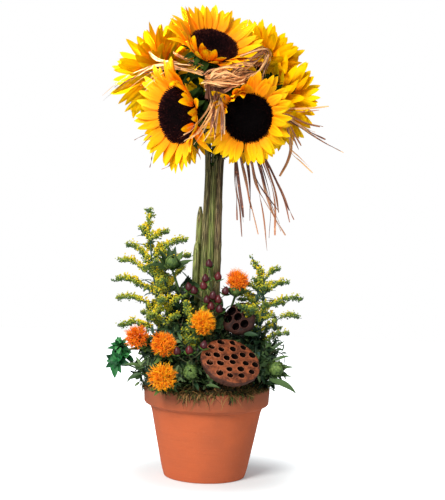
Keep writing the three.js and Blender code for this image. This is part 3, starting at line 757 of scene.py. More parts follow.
def bracts_of(name, seed):
    centre, axis, radius = BLOOMS[name]
    right, up = spun(axis)
    random = np.random.default_rng(seed)
    parts = []
    short = 0.62 if name in SEEN_BEHIND else 1.0
    for count, lean_back, reach, back in ((15, 0.12, 21, 6), (15, 0.5, 19, 10), (10, 0.85, 16, 15)):
        angle = np.linspace(0, 2 * math.pi, count, endpoint=False) + random.normal(0, 0.1, count) + back
        out = rays(angle, right, up)
        lean = -(lean_back + random.normal(0, 0.13, count))
        way = out * np.cos(lean)[:, None] + np.outer(np.sin(lean), axis)
        upper = -out * np.sin(lean)[:, None] + np.outer(np.cos(lean), axis)
        place = centre + out * (radius * (1.0 - 0.035 * back)) - axis * back * 0.9 * MM
        points, faces, _, which = blades(
            place, frames_along(way, upper), reach * short * random.uniform(0.8, 1.15, count) * MM,
            random.uniform(3.0, 4.4, count) * MM, random.normal(-0.2, 0.5, count), leaf_outline,
            rows=8, columns=5, fold=0.25,
        )
        parts.append((points, faces, random.integers(0, 3, count)[which]))
    count = 9
    angle = np.arange(count) * GOLDEN_ANGLE + random.uniform(0, 6)
    out = rays(angle, right, up)
    points, faces, _, which = blades(
        centre - np.outer(np.linspace(26, 40, count), axis) * MM,
        frames_along(out + axis * 0.5, np.tile(axis, (count, 1))),
        random.uniform(24, 36, count) * (0.6 if name == "right" else 1) * MM,
        random.uniform(5, 7, count) * MM, random.normal(-0.7, 0.4, count),
        leaf_outline, rows=9, columns=5, fold=0.22,
    )
    parts.append((points, faces, random.integers(0, 2, count)[which]))
    edge = radius / MM
    profile = [(4.6, -26.5), (7.5, -23), (edge * 0.5, -17), (edge * 0.86, -10), (edge, -4)]
    sides = 40
    turn = np.linspace(0, 2 * math.pi, sides, endpoint=False)
    spoke = rays(turn, right, up)
    cup = np.array([centre + spoke * r * MM + axis * h * MM for r, h in profile])
    skin = ring_quads(len(profile), sides)
    parts.append((cup.reshape(-1, 3), skin, np.ones(len(skin), int)))
    return merged(parts)


def thicket(centre, spread, count, length, low, high, seed):
    """Leaves that point every way, where a gap would show."""
    random = np.random.default_rng(seed)
    points, faces, _, which = blades(
        (np.array(centre) + random.normal(size=(count, 3)) * spread) * MM,
        frames_along(random.normal(size=(count, 3)) + [0, -0.6, 0.2], random.normal(size=(count, 3))),
        random.uniform(0.75, 1.3, count) * length * MM, random.uniform(0.2, 0.3, count) * length * MM,
        random.normal(-0.4, 0.4, count), leaf_outline, rows=8, columns=5, fold=0.25,
    )
    return points, faces, random.integers(low, high, count)[which]


between = piece_from("bracts_between", *thicket((-5, -42, 492), (14, 13, 15), 90, 20, 0, 2, 23))
finished(between, bract_finishes, "leaf", "head_top", "head_left", "head_right")
beside = piece_from("bracts_beside", *thicket((66, -32, 518), (6, 5, 9), 22, 17, 0, 2, 24))
finished(beside, bract_finishes, "leaf", "head_upper_right", "head_lower_right")
neck = piece_from("bracts_at_neck", *thicket((3, -12, 426), (5, 4, 8), 30, 10, 0, 1, 25))
finished(neck, bract_finishes, "leaf", "head_left", "head_right")

for number, name in enumerate(BLOOMS):
    petals = piece_from(f"petals_{name}_whorls", *petals_of(name, 100 + number))
    finished(petals, petal_finishes, "petals", f"petals_{name}")
    disc = piece_from(f"disc_{name}_florets", *disc_of(name, 200 + number), smooth=False)
    finished(disc, disc_finishes, "disc", f"head_{name}")
    bracts = piece_from(f"bracts_{name}", *bracts_of(name, 300 + number))
    finished(bracts, bract_finishes, "leaf", f"head_{name}")


# ---------- raffia ----------
# Flat strands of dried palm leaf are wound across the front under the top bloom and tied at
# their middle. Loose tails hang from the tie and from behind the blooms at the right.


def ribbon(line, width, random, tone, tones_of, fold=0.3):
    """A flat strand, folded along its middle and twisting as it goes."""
    count = len(line)
    share = np.linspace(0, 1, count)
    one, two = carried_frames(line)
    turn = random.uniform(0, math.pi) + random.normal(0, 1.6) * share
    turn = turn + random.normal(0, 0.5) * np.sin(share * 7)
    across = one * np.cos(turn)[:, None] + two * np.sin(turn)[:, None]
    proud = two * np.cos(turn)[:, None] - one * np.sin(turn)[:, None]
    half = width / 2 * (0.35 + 0.65 * np.sin(math.pi * np.clip(share * 0.92 + 0.06, 0, 1)) ** 0.4)
    edges = []
    for side in (-1, 0, 1):
        edges.append(line + across * (half * side)[:, None] + proud * (half * abs(side) * fold)[:, None])
    points = np.stack(edges, axis=1)
    corner = np.arange(count * 3).reshape(count, 3)
    faces = np.stack([corner[:-1, :-1], corner[1:, :-1], corner[1:, 1:], corner[:-1, 1:]], axis=-1)
    faces = faces.reshape(-1, 4)
    tones = np.full(len(faces), tone) + (random.random(len(faces)) < 0.12)
    return points.reshape(-1, 3), faces, np.clip(tones, 0, tones_of - 1)


def tails(routes, copies, spread, width, random, tones_of, reach=(0.8, 1.05)):
    """Loose strands that share a start and fan out along each route."""
    parts = []
    for route in routes:
        knots = np.asarray(route, float) * MM
        for copy in range(copies):
            line = smooth_route(knots, 40)
            far = np.linspace(0, 1, 40)[:, None]
            line = knots[0] + (line - knots[0]) * (1 if copy == 0 else random.uniform(*reach))
            line = line + random.normal(0, spread, 3) * MM * far * (copy > 0) + random.normal(0, 0.8, 3) * MM
            wave = np.sin(far * random.uniform(3, 9) + random.uniform(0, 6)) * random.normal(0, 1.1) * MM
            line = line + wave * unit(random.normal(size=3))
            breadth = width * random.uniform(0.6, 1.2) * MM
            parts.append(ribbon(line, breadth, random, random.integers(0, tones_of), tones_of))
    return parts


RAFFIA_COLOURS = [
    (0.13, 0.04, 0.018), (0.42, 0.16, 0.06), (0.66, 0.27, 0.085), (0.84, 0.42, 0.15), (0.96, 0.58, 0.26),
]
raffia_finishes = shades("raffia", RAFFIA_COLOURS, 0.6)
WOUND_STRANDS = 84
STUB_STRANDS = 40
raffia_random = np.random.default_rng(21)
wad_parts = []
for _ in range(WOUND_STRANDS):
    band = raffia_random.uniform(-1, 1, 4) * 0.5 + raffia_random.uniform(-0.7, 0.7)
    deep = raffia_random.uniform(-5, 4)
    knots = np.array([
        [-11 + raffia_random.normal(0, 3), -86 + deep, 515 + 10 * band[0]],
        [8, -96 + deep, 519 + 14 * band[1]],
        [28, -99 + deep, 524 + 14 * band[2]],
        [47 + raffia_random.normal(0, 4), -89 + deep, 533 + 11 * band[3]],
    ])
    line = smooth_route(knots * MM, 60)[: int(raffia_random.integers(36, 61))]
    wave = np.sin(np.linspace(0, raffia_random.uniform(3, 9), len(line)))[:, None]
    line = line + wave * raffia_random.normal(0, 1.5, 3) * MM
    # Strands deeper in the wad are given darker tones: painted shade.
    shade = int(np.clip(2.1 - deep * 0.3 + raffia_random.normal(0, 1.4), 0, 4))
    wad_parts.append(ribbon(line, raffia_random.uniform(1.8, 4.0) * MM, raffia_random, shade, 5))
LOOPS = [
    [(-16, -82, 523), (-6, -88, 530), (23, -92, 535), (45, -86, 540), (61, -62, 554)],
    [(-14, -84, 509), (6, -93, 509), (30, -96, 516), (53, -80, 531), (63, -60, 553)],
    [(33, -90, 538), (53, -66, 554), (61, -58, 559), (63, -60, 549), (53, -76, 535)],
    [(29, -88, 547), (44, -80, 554), (59, -62, 560), (65, -56, 553), (58, -66, 530), (56, -72, 522)],
]
wad_parts += tails(LOOPS, 6, 3.5, 1.6, raffia_random, 5, (0.94, 1.02))
LEFT_TAILS = [
    [(-16, -80, 525), (-39, -62, 533), (-62, -42, 535), (-93, -36, 531), (-119, -30, 519), (-146, -22, 496)],
    [(-18, -80, 523), (-43, -60, 531), (-68, -40, 534), (-88, -50, 522), (-109, -56, 503)],
    [(-54, -42, 538), (-72, -38, 536), (-89, -38, 531), (-100, -42, 521)],
    [(-87, -36, 552), (-77, -36, 542), (-58, -46, 536), (-30, -70, 528)],
    [(-56, -42, 552), (-43, -60, 543), (-16, -82, 527)],
]
wad_parts += tails(LEFT_TAILS, 4, 4, 1.5, raffia_random, 5, (0.75, 0.97))
FRONT_TAILS = [
    [(-5, -98, 500), (-6, -112, 478), (-23, -122, 450), (-38, -126, 438)],
    [(2, -98, 499), (-6, -112, 472), (-15, -120, 456), (-28, -124, 442)],
    [(3, -98, 497), (-4, -112, 468), (-5, -120, 441)],
    [(4, -98, 501), (10, -114, 477), (9, -122, 443)],
    [(7, -98, 499), (4, -112, 477), (1, -118, 445)],
    [(-5, -98, 498), (-2, -112, 465), (0, -118, 457)],
]
wad_parts += tails(FRONT_TAILS, 4, 6, 2.4, raffia_random, 5)
LOW_TAILS = [
    [(-85, -60, 446), (-94, -62, 441), (-100, -64, 438)],
    [(-79, -60, 444), (-86, -60, 437), (-91, -62, 432)],
    [(-76, -62, 428), (-79, -60, 416), (-81, -58, 405)],
    [(-53, -64, 416), (-59, -62, 408), (-65, -60, 403)],
    [(-24, -60, 432), (-19, -58, 424), (-17, -56, 418)],
]
wad_parts += tails(LOW_TAILS, 1, 1, 1.8, raffia_random, 2)
stub_line = np.array([[-2, -82, 512], [-2, -99, 503], [-1, -111, 491]]) * MM
for _ in range(STUB_STRANDS):
    turn = raffia_random.uniform(0, 2 * math.pi)
    out = np.array([math.cos(turn), math.sin(turn) * 0.7, 0]) * 10 * MM * math.sqrt(raffia_random.random())
    end = stub_line[-1] + out * 1.3 + raffia_random.normal(0, 1.5, 3) * MM
    line = smooth_route([stub_line[0] + out, stub_line[1] + out, end], 12)
    wad_parts.append(ribbon(line, 2.2 * MM, raffia_random, 0, 1))
raffia = piece_from("raffia_wound", *merged(wad_parts))
finished(raffia, raffia_finishes, "raffia", "raffia_tie")

RUST_COLOURS = [(0.13, 0.045, 0.03), (0.34, 0.12, 0.06), (0.48, 0.19, 0.09), (0.6, 0.3, 0.16)]
rust_finishes = shades("raffia_rust", RUST_COLOURS, 0.6)
RIGHT_TAILS = [
    [(24, -28, 440), (33, -32, 389), (41, -36, 340)],
    [(28, -28, 440), (33, -34, 382), (38, -34, 358), (42, -38, 322)],
    [(30, -28, 440), (43, -30, 383), (58, -32, 324)],
    [(40, -28, 440), (62, -30, 367), (72, -32, 304)],
    [(44, -28, 440), (60, -30, 379), (96, -30, 326)],
    [(54, -26, 440), (75, -26, 376), (76, -26, 320)],
    [(50, -26, 440), (77, -26, 359), (90, -26, 328)],
    [(54, -24, 440), (84, -22, 388), (106, -20, 343)],
    [(56, -22, 440), (80, -20, 394), (91, -20, 370), (99, -20, 341)],
]
rust_parts = tails(RIGHT_TAILS, 2, 6, 4.0, raffia_random, 4, (0.75, 1.0))
finished(piece_from("raffia_right_tails", *merged(rust_parts)), rust_finishes, "raffia", "raffia_right")
FAR_TAILS = [
    [(88, -44, 484), (117, -40, 485), (143, -40, 490)],
    [(88, -48, 478), (117, -48, 469), (140, -46, 464)],
    [(88, -48, 474), (124, -46, 457), (142, -44, 449)],
    [(88, -50, 476), (138, -50, 445), (164, -50, 432)],
    [(90, -44, 470), (100, -44, 452), (108, -42, 435)],
    [(90, -42, 470), (98, -42, 442), (95, -40, 421), (85, -40, 400)],
    [(96, -42, 450), (98, -40, 432), (111, -40, 420), (127, -40, 406)],
    [(95, -42, 465), (97, -42, 442), (98, -40, 432)],
    [(80, -30, 452), (88, -32, 452), (94, -34, 450)],
]
far_parts = tails(FAR_TAILS, 2, 2.5, 2.6, raffia_random, 5, (0.7, 0.98))
far_tails = piece_from("raffia_far_right_tails", *merged(far_parts))
finished(far_tails, raffia_finishes, "raffia", "raffia_far_right")


# ---------- goldenrod ----------
# Leaning stems carry plumes of tiny yellow flowers, one above another, with narrow leaves
# between them. The plumes are greener towards their tips, where the flowers are still in bud.

GOLDENROD = {  # stem, and each plume as how far up the stem it springs and the point that its tip reaches
    "goldenrod_left": (
        [(-44, -18, 118), (-54, -18, 167), (-63, -16, 206), (-71, -15, 246), (-77, -15, 282),
         (-84, -15, 351)],
        [(0.3, (-118, -26, 197)), (0.43, (-121, -8, 231)), (0.52, (-126, -24, 257)), (0.62, (-120, -6, 281)),
         (0.7, (-108, -22, 303)), (0.38, (-30, -28, 240)), (0.62, (-27, -12, 291)), (0.72, (-33, -18, 311)),
         (0.82, (-57, -16, 321)), (0.46, (-72, 28, 250)), (0.4, (-62, -48, 236)), (0.5, (-60, -34, 262)),
         (0.6, (-70, -32, 284)), (0.34, (-76, -42, 214)), (0.3, (-40, -36, 214)), (0.82, (-92, -16, 325))],
    ),
    "goldenrod_right": (
        [(60, -18, 118), (64, -17, 168), (67, -17, 198), (69, -16, 222), (70, -15, 250), (68, -15, 272),
         (53, -15, 292)],
        [(0.32, (104, -22, 193)), (0.45, (121, -18, 215)), (0.58, (120, -24, 239)), (0.7, (101, -14, 259)),
         (0.8, (88, -18, 277)), (0.6, (36, -24, 236)), (0.7, (46, -18, 256)), (0.45, (58, 20, 222)),
         (0.55, (74, -32, 232)), (0.7, (72, -26, 254)), (0.35, (38, -66, 234)), (0.45, (52, -64, 228))],
    ),
    "goldenrod_centre": (
        [(-26, -34, 118), (-20, -38, 186), (-12, -40, 214)],
        [(0.62, (4, -44, 238)), (0.5, (-32, -50, 198)), (0.78, (-30, -44, 232)), (0.7, (-8, -52, 222))],
    ),
    "goldenrod_back_left": (
        [(-44, 40, 118), (-52, 48, 180), (-60, 54, 240), (-66, 58, 300)],
        [(0.4, (-92, 62, 206)), (0.55, (-100, 44, 246)), (0.7, (-92, 66, 276)), (0.5, (-34, 76, 232)),
         (0.65, (-38, 68, 268)), (0.6, (-60, 80, 256)), (0.8, (-56, 50, 290))],
    ),
    "goldenrod_back_right": (
        [(44, 40, 118), (54, 48, 170), (62, 54, 220), (68, 58, 270)],
        [(0.4, (96, 62, 190)), (0.58, (102, 48, 226)), (0.75, (90, 66, 252)), (0.5, (34, 74, 206)),
         (0.68, (44, 72, 240)), (0.6, (62, 78, 230))],
    ),
}
GOLD_COLOURS = [
    (0.065, 0.125, 0.04), (0.14, 0.22, 0.04), (0.32, 0.37, 0.04), (0.6, 0.55, 0.03), (0.85, 0.6, 0.015),
    (0.72, 0.33, 0.02), (0.035, 0.085, 0.065), (0.05, 0.11, 0.07), (0.03, 0.075, 0.03),
]
GOLD_STALK = 6
RIPENESS = {"goldenrod_right": 1.4, "goldenrod_centre": 2.2}
FULLNESS = {"goldenrod_right": 0.62}
GRAINS_PER_SPRIG = 11
gold_finishes = shades("goldenrod", GOLD_COLOURS, 0.65, 0.25)


def beads(places, sizes, random, stretch=1.0, axis=None):
    """Small eight-sided grains."""
    count = len(places)
    turned = random.normal(size=(count, 3)) if axis is None else axis
    tall = unit(turned)
    one = unit(np.cross(tall, random.normal(size=(count, 3))))
    two = np.cross(tall, one)
    size = sizes[:, None]
    ends = tall * size * stretch
    ring = [places + one * size, places + two * size, places - one * size, places - two * size]
    points = np.stack([places - ends, *ring, places + ends], axis=1)
    cells = np.array([[0, 2, 1], [0, 3, 2], [0, 4, 3], [0, 1, 4], [5, 1, 2], [5, 2, 3], [5, 3, 4], [5, 4, 1]])
    faces = (np.arange(count)[:, None, None] * 6 + cells).reshape(-1, 3)
    return points.reshape(-1, 3), faces


def along(line, share):
    """Points at shares of a line."""
    at = np.clip(share, 0, 1) * (len(line) - 1)
    return np.column_stack([np.interp(at, np.arange(len(line)), line[:, axis]) for axis in range(3)])


def point_along(line, share):
    """The one point at a share of a line."""
    return along(line, np.array([share]))[0]


gold_random = np.random.default_rng(31)
for name, (route, plumes) in GOLDENROD.items():
    stem_line = smooth_route(np.array(route) * MM, 80)
    stalks = [tube(stem_line, np.linspace(1.7, 0.8, 80) * MM, 8, GOLD_STALK)]
    grains, grain_sizes, grain_tones = [], [], []
    tips = [*plumes, (0.76, tuple(stem_line[-1] / MM))]
    fullness = FULLNESS.get(name, 1.0)
    for _ in range(int(len(plumes) * 0.9 * fullness)):
        share = gold_random.uniform(0.3, 0.76)
        turn = gold_random.uniform(0, 2 * math.pi)
        long = gold_random.uniform(14, 30) * (1.25 - share)
        rise = gold_random.uniform(0.3, 1.0) * long
        tip = point_along(stem_line, share) / MM + [math.cos(turn) * long, math.sin(turn) * long, rise]
        tips.append((share, tuple(tip)))
    for share, tip in tips:
        start = point_along(stem_line, share)
        end = np.array(tip) * MM
        reach = np.linalg.norm(end - start)
        leader = tip == tips[len(plumes)][1]
        crest = start * 0.45 + end * 0.55 + np.array([0, 0, 0.14 * (not leader)]) * reach
        line = smooth_route([start, crest, end], 30)
        stalks.append(tube(line, np.linspace(0.9, 0.35, 30) * MM, 5, GOLD_STALK + 1))
        side = unit(np.cross(end - start, [0, 0.3, 1]))
        for _ in range(int((12 + reach / MM * 0.62) * fullness)):
            where = gold_random.uniform(0.2, 1.0)
            foot = point_along(line, where)
            belly = math.sin(math.pi * min(1, where * 0.9 + 0.06)) ** 0.6
            if leader:
                belly = (2.3 - 1.5 * where) * (1 - 0.6 * (where * 3 % 1) ** 2)
            way = side * gold_random.normal(0, 0.9) + np.array([0, 0, 1]) * gold_random.uniform(-0.1, 1.1)
            way = way + leader * gold_random.normal(0, 0.6, 3)
            way = unit(way + unit(end - start) * gold_random.uniform(0.1, 0.8))
            long = gold_random.uniform(5.0, 11.0) * (0.35 + 0.65 * belly) * MM
            count = GRAINS_PER_SPRIG
            at = foot + way * np.linspace(0.2, 1, count)[:, None] * long
            at = at + gold_random.normal(0, 1.15, (count, 3)) * MM
            grains.append(at)
            grain_sizes.append(gold_random.uniform(0.7, 1.45, count) * MM * (0.65 + 0.45 * belly))
            ripe = RIPENESS.get(name, 2.0) - 1.6 * where**2 + gold_random.normal(0, 0.6, count)
            ripe = ripe + (at[:, 2] - foot[2]) / (2.6 * MM)
            grain_tones.append(np.clip(ripe, 0, 4.9).astype(int))
    places = np.vstack(grains)
    points, faces = beads(places, np.concatenate(grain_sizes), gold_random, 1.15)
    tones = np.repeat(np.concatenate(grain_tones), 8)
    flowers = piece_from(f"{name}_flowers", points, faces, tones, smooth=False)
    finished(flowers, gold_finishes, "goldenrod", name)
    count = int(34 * fullness)
    share = np.sort(gold_random.uniform(0.08, 0.85, count))
    turn = np.arange(count) * GOLDEN_ANGLE
    flat = np.column_stack([np.cos(turn), np.sin(turn), gold_random.uniform(0.1, 0.9, count)])
    points, faces, _, which = blades(
        along(stem_line, share), frames_along(flat, np.tile([0.0, 0.0, 1.0], (count, 1))),
        gold_random.uniform(18, 34, count) * MM, gold_random.uniform(2, 3.2, count) * MM,
        gold_random.normal(-0.7, 0.3, count), leaf_outline, rows=8, columns=3, fold=0.3,
    )
    stalks.append((points, faces, gold_random.integers(6, 9, count)[which]))
    finished(piece_from(f"{name}_stalks", *merged(stalks)), gold_finishes, "goldenrod", name)


# ---------- safflowers and their buds ----------
# A tuft of thin orange florets bursts from a green bulb of overlapping scales, above a collar of
# stiff leaves. The buds are bulbs that haven't opened.

SAFFLOWERS = {  # tuft: centre, radius, the way it leans, and how red it is
    "safflower_high": ((35, -40, 263), 14, (0.1, -0.3, 1), 0.75),
    "safflower_middle": ((-7, -72, 211), 15, (0.1, -0.8, 0.7), 0.1),
    "safflower_far_left": ((-90, -72, 190), 14.5, (-0.4, -0.7, 0.6), 0.9),
    "safflower_left": ((-56, -84, 183), 15.5, (-0.1, -0.8, 0.6), 0.6),
    "safflower_low": ((-55, -97, 144), 16.5, (-0.1, -0.9, 0.5), 0.0),
    "safflower_back_left": ((-46, 82, 196), 15, (-0.2, 0.7, 0.7), 0.4),
    "safflower_back_right": ((48, 84, 178), 15, (0.2, 0.8, 0.6), 0.3),
}
BUDS = {  # centre, radius, the way it leans, and how long its collar's leaves are
    "bud_high": ((-50, -32, 283), 9, (0.1, -0.6, 0.8), 27),
    "bud_front": ((-21, -94, 151), 9.5, (0.1, -0.9, 0.4), 13),
    "bud_right": ((88, -53, 152), 9.5, (0.4, -0.7, 0.5), 16),
}
TUFT_COLOURS = [
    (0.62, 0.09, 0.01), (0.85, 0.15, 0.01), (0.95, 0.23, 0.01), (1.0, 0.33, 0.008), (1.0, 0.44, 0.006),
    (1.0, 0.56, 0.01),
]
tuft_finishes = shades("safflower", TUFT_COLOURS, 0.55, 0.2)
BULB_COLOURS = [
    (0.03, 0.06, 0.018), (0.06, 0.11, 0.03), (0.1, 0.165, 0.035), (0.17, 0.25, 0.06), (0.29, 0.37, 0.12),
]
bulb_finishes = shades("bulb", BULB_COLOURS, 0.6, 0.25)
TUFT_FLORETS = 230
FLORET_LOBES = 6
saff_random = np.random.default_rng(41)


def cross_ways(lean):
    """Two directions square to a lean and to each other."""
    one = unit(np.cross(lean, [0.2, 0.1, 1.0]))
    return one, np.cross(lean, one)


def bulb(centre, radius, lean, collar, random):
    """A bulb of scales, its collar of leaves and its stalk."""
    one, two = cross_ways(lean)
    rings, sides = 9, 20
    turn = np.linspace(0, 2 * math.pi, sides, endpoint=False)
    spoke = rays(turn, one, two)
    shell = []
    for rise in np.linspace(-0.92, 0.92, rings):
        shell.append(centre + lean * rise * radius + spoke * math.sqrt(1 - rise * rise) * radius * 0.93)
    skin = ring_quads(rings, sides)
    parts = [(np.vstack(shell), skin, np.zeros(len(skin), int))]
    for level, (low, count) in enumerate(((-0.75, 9), (-0.45, 11), (-0.1, 11), (0.25, 10), (0.55, 8))):
        turn = np.linspace(0, 2 * math.pi, count, endpoint=False) + level * 0.5
        turn = turn + random.normal(0, 0.06, count)
        out = rays(turn, one, two)
        belt = math.sqrt(1 - low * low)
        place = centre + lean * low * radius + out * belt * radius * 0.97
        way = unit(lean * (belt + 0.15) - out * (low * 0.9 - 0.22))
        points, faces, share, which = blades(
            place, frames_along(way, out),
            radius * random.uniform(0.75, 1.05, count), radius * 0.3 * np.ones(count),
            random.normal(-0.4 - 0.2 * level, 0.2, count), leaf_outline, rows=6, columns=5, fold=-0.25,
        )
        tones = np.clip(0.5 + random.random(count)[which] * 1.6 + share * 1.6, 0, 4).astype(int)
        parts.append((points, faces, tones))
    count = 14
    turn = np.arange(count) * GOLDEN_ANGLE
    out = rays(turn, one, two)
    place = centre - lean * radius * 0.8 + out * radius * 0.3
    points, faces, _, which = blades(
        place, frames_along(out + lean * 0.45, np.tile(lean, (count, 1))),
        collar * random.uniform(0.75, 1.15, count) * MM, collar * 0.15 * np.ones(count) * MM,
        random.normal(0.35, 0.4, count), leaf_outline, rows=7, columns=5, fold=0.3,
    )
    parts.append((points, faces, random.integers(0, 3, count)[which]))
    under = centre - lean * radius * 0.85
    foot = np.array([under[0] * 0.45, under[1] * 0.45, 116 * MM])
    knee = np.array([under[0] * 0.62, under[1] * 0.3, foot[2] * 0.4 + under[2] * 0.6])
    parts.append(tube(smooth_route([foot, knee, under], 24), np.full(24, 1.6 * MM), 7, 1))
    return parts


for name, (at, radius, lean, red) in SAFFLOWERS.items():
    lean = unit(np.array(lean, float))
    centre = np.array(at) * MM
    heart = centre - lean * radius * 0.62 * MM
    count = TUFT_FLORETS
    index = np.arange(count) + 0.5
    height = 1 - index / count * 1.45
    turn = index * GOLDEN_ANGLE
    one, two = cross_ways(lean)
    level = np.sqrt(1 - height**2)[:, None]
    out = level * rays(turn, one, two) + np.outer(height, lean)
    out = unit(out + saff_random.normal(0, 0.12, (count, 3)))
    start = heart + (out - np.outer(height, lean)) * radius * 0.3 * MM
    reach = centre + out * (radius * saff_random.uniform(0.66, 1.1, count))[:, None] * MM - start
    long = np.linalg.norm(reach, axis=1)
    points, faces, share, which = blades(
        start, frames_along(reach, saff_random.normal(size=(count, 3))), long * 0.8,
        saff_random.uniform(0.35, 0.55, count) * MM, saff_random.normal(0, 0.25, count),
        strap, rows=6, columns=2,
    )
    light = 2.6 - red * 1.6 + saff_random.normal(0, 0.8, count)[which] + (share - 0.7) * 2.2
    tuft = [(points, faces, np.clip(light, 0, 5).astype(int))]
    lobes = FLORET_LOBES
    fork = np.repeat(start + reach * 0.7, lobes, axis=0)
    spread = unit(np.repeat(unit(reach), lobes, axis=0) + saff_random.normal(0, 0.3, (count * lobes, 3)))
    points, faces, share, which = blades(
        fork, frames_along(spread, saff_random.normal(size=(count * lobes, 3))),
        np.repeat(long, lobes) * 0.4 * saff_random.uniform(0.6, 1.3, count * lobes),
        np.full(count * lobes, 0.34 * MM), saff_random.normal(0, 0.8, count * lobes),
        strap, rows=4, columns=2,
    )
    varied = np.repeat(saff_random.normal(0, 0.7, count), lobes)
    light = 3.9 - red * 1.9 + varied[which] + (share - 0.5) * 1.4
    tuft.append((points, faces, np.clip(light, 0, 5).astype(int)))
    points, faces, tones = merged(tuft)
    finished(piece_from(f"{name}_tuft", points, faces, tones), tuft_finishes, "safflower", name)
    green = bulb(centre - lean * radius * 0.95 * MM, radius * 0.62 * MM, lean, radius * 1.25, saff_random)
    finished(piece_from(f"{name}_bulb", *merged(green)), bulb_finishes, "bud", name)

for name, (at, radius, lean, collar) in BUDS.items():
    green = bulb(np.array(at) * MM, radius * MM, unit(np.array(lean, float)), collar, saff_random)
    finished(piece_from(f"{name}_scales", *merged(green)), bulb_finishes, "bud", name)


# ---------- lotus pods ----------
# Dried lotus seed heads: a flat face with rings of holes that held the seeds, each with a thin
# raised lip, over a wrinkled cone.

# Centre and radius of each face, depth of the cone, the way it faces, and its holes: how many
# in each ring, their radius and their depth.
PODS = {
    "lotus_pod_large": (
        (30, -84, 167), 38, 30, (0.22, -0.57, 0.79),
        ((0.16, 3), (0.49, 8), (0.79, 12)), 4.4, 8,
    ),
    "lotus_pod_small": (
        (38, -42, 216), 22, 26, (-0.35, -0.8, 0.5),
        ((0.0, 1), (0.6, 6)), 6.0, 9,
    ),
}


def pod_skin(name, light, dark, rough):
    """Dry, wrinkled skin that is mottled from light to dark."""
    finish = Finish(name, light, rough, Specular_IOR_Level=0.15)
    at = finish.place()
    patch = finish.noise(at, 110, 5, 0.7)
    grain = finish.noise(at, 520, 4, 0.7)
    tone = finish.mix(finish.between(patch, 0.32, 0.68), dark, light)
    finish.feed("Base Color", finish.mix(finish.between(grain, 0.5, 0.75) * 0.5, tone, dark))
    finish.relief(grain * 0.6 + patch, 0.0012, 0.8)
    return finish


POD_FINISHES = {
    "lotus_pod_large": [
        pod_skin("pod_face", (0.33, 0.085, 0.03), (0.035, 0.011, 0.007), 0.55),
        Finish("pod_lip", (0.34, 0.11, 0.05), 0.6, Specular_IOR_Level=0.2),
        Finish("pod_well", (0.006, 0.003, 0.002), 0.9, Specular_IOR_Level=0.05),
        pod_skin("pod_side", (0.12, 0.042, 0.025), (0.04, 0.016, 0.011), 0.6),
    ],
    # The small pod's finishes are several times darker than the large pod's: partly its own darker skin,
    # partly painted shade where it sits among the flowers.
    "lotus_pod_small": [
        pod_skin("small_pod_face", (0.05, 0.016, 0.01), (0.01, 0.004, 0.003), 0.55),
        Finish("small_pod_lip", (0.075, 0.026, 0.018), 0.5, Specular_IOR_Level=0.15),
        Finish("small_pod_well", (0.005, 0.002, 0.002), 0.9, Specular_IOR_Level=0.05),
        pod_skin("small_pod_side", (0.035, 0.012, 0.008), (0.01, 0.004, 0.003), 0.6),
    ],
}
pod_random = np.random.default_rng(51)
for name, (at, radius, depth, facing, rings, hole, sink) in PODS.items():
    facing = unit(np.array(facing, float))
    one, two = cross_ways(facing)
    holes = []
    for share, count in rings:
        start = pod_random.uniform(0, 1)
        for number in range(count):
            turn = (number + start + pod_random.normal(0, 0.07)) * 2 * math.pi / count
            out = radius * share * pod_random.uniform(0.96, 1.04)
            holes.append((math.cos(turn) * out, math.sin(turn) * out, hole * pod_random.uniform(0.82, 1.12)))
    spokes, face_rings = 300, 100
    turn = np.linspace(0, 2 * math.pi, spokes, endpoint=False)
    worn = 2.5 if radius < 30 else 1.0
    lobes = 1 + worn * (0.006 * np.sin(turn * 7 + 1) + 0.012 * np.sin(turn * 3) + 0.003 * np.sin(turn * 13))
    out = np.linspace(0.004, 1, face_rings)[:, None] * radius * lobes
    x = out * np.cos(turn)
    y = out * np.sin(turn)
    edge = np.linspace(0.004, 1, face_rings)[:, None] + 0 * turn
    on_face = np.column_stack([x.ravel(), y.ravel(), 0 * x.ravel()])
    worn_face = 0.35 * swell(on_face, 0.16, 4).reshape(x.shape)
    face_height = 1.6 * (1 - edge**2) - 2.2 * edge**14 + worn_face
    nearest = np.full(x.shape, 99.0)
    for hole_x, hole_y, size in holes:
        nearest = np.minimum(nearest, np.hypot(x - hole_x, y - hole_y) - size)
    into = np.clip(-nearest / 0.9, 0, 1)
    into = into * into * (3 - 2 * into)
    face_height = face_height + 0.75 * np.exp(-((nearest - 0.35) / 0.6) ** 2) - sink * into
    seed = np.clip((-nearest - hole * 0.42) / (hole * 0.4), 0, 1)
    face_height = face_height + seed * sink * 0.3
    # The hollow of each hole is given the near-black well finish: painted shade in the holes.
    region = np.where(nearest < 0.1, 2, np.where(nearest < 0.7, 1, 0))
    steps = [
        (1.012, -3.6), (1.0, -5.5), (0.965, -8.0), (0.88, -depth * 0.45), (0.7, -depth * 0.7),
        (0.45, -depth * 0.9), (0.16, -depth), (0.1, -depth * 1.1),
    ]
    wrinkle = 1 + 0.02 * np.sin(turn * 34 + 2 * np.sin(turn * 5)) + 0.012 * np.sin(turn * 61)
    side_x = np.array([np.cos(turn) * radius * lobes * s * (wrinkle if s < 1 else 1) for s, _ in steps])
    side_y = np.array([np.sin(turn) * radius * lobes * s * (wrinkle if s < 1 else 1) for s, _ in steps])
    side_z = np.array([np.full(spokes, h) for _, h in steps])
    all_x = np.vstack([x, side_x])
    all_y = np.vstack([y, side_y])
    all_z = np.vstack([face_height, side_z])
    points = np.array(at) + all_x[..., None] * one + all_y[..., None] * two + all_z[..., None] * facing
    faces = ring_quads(len(all_x), spokes)[:, TURNED_OVER]
    tones = np.vstack([region[:-1], np.full((len(steps), spokes), 3)])
    pod = piece_from(f"{name}_dried", points.reshape(-1, 3) * MM, faces, tones.ravel())
    finished(pod, POD_FINISHES[name], "pod", name)


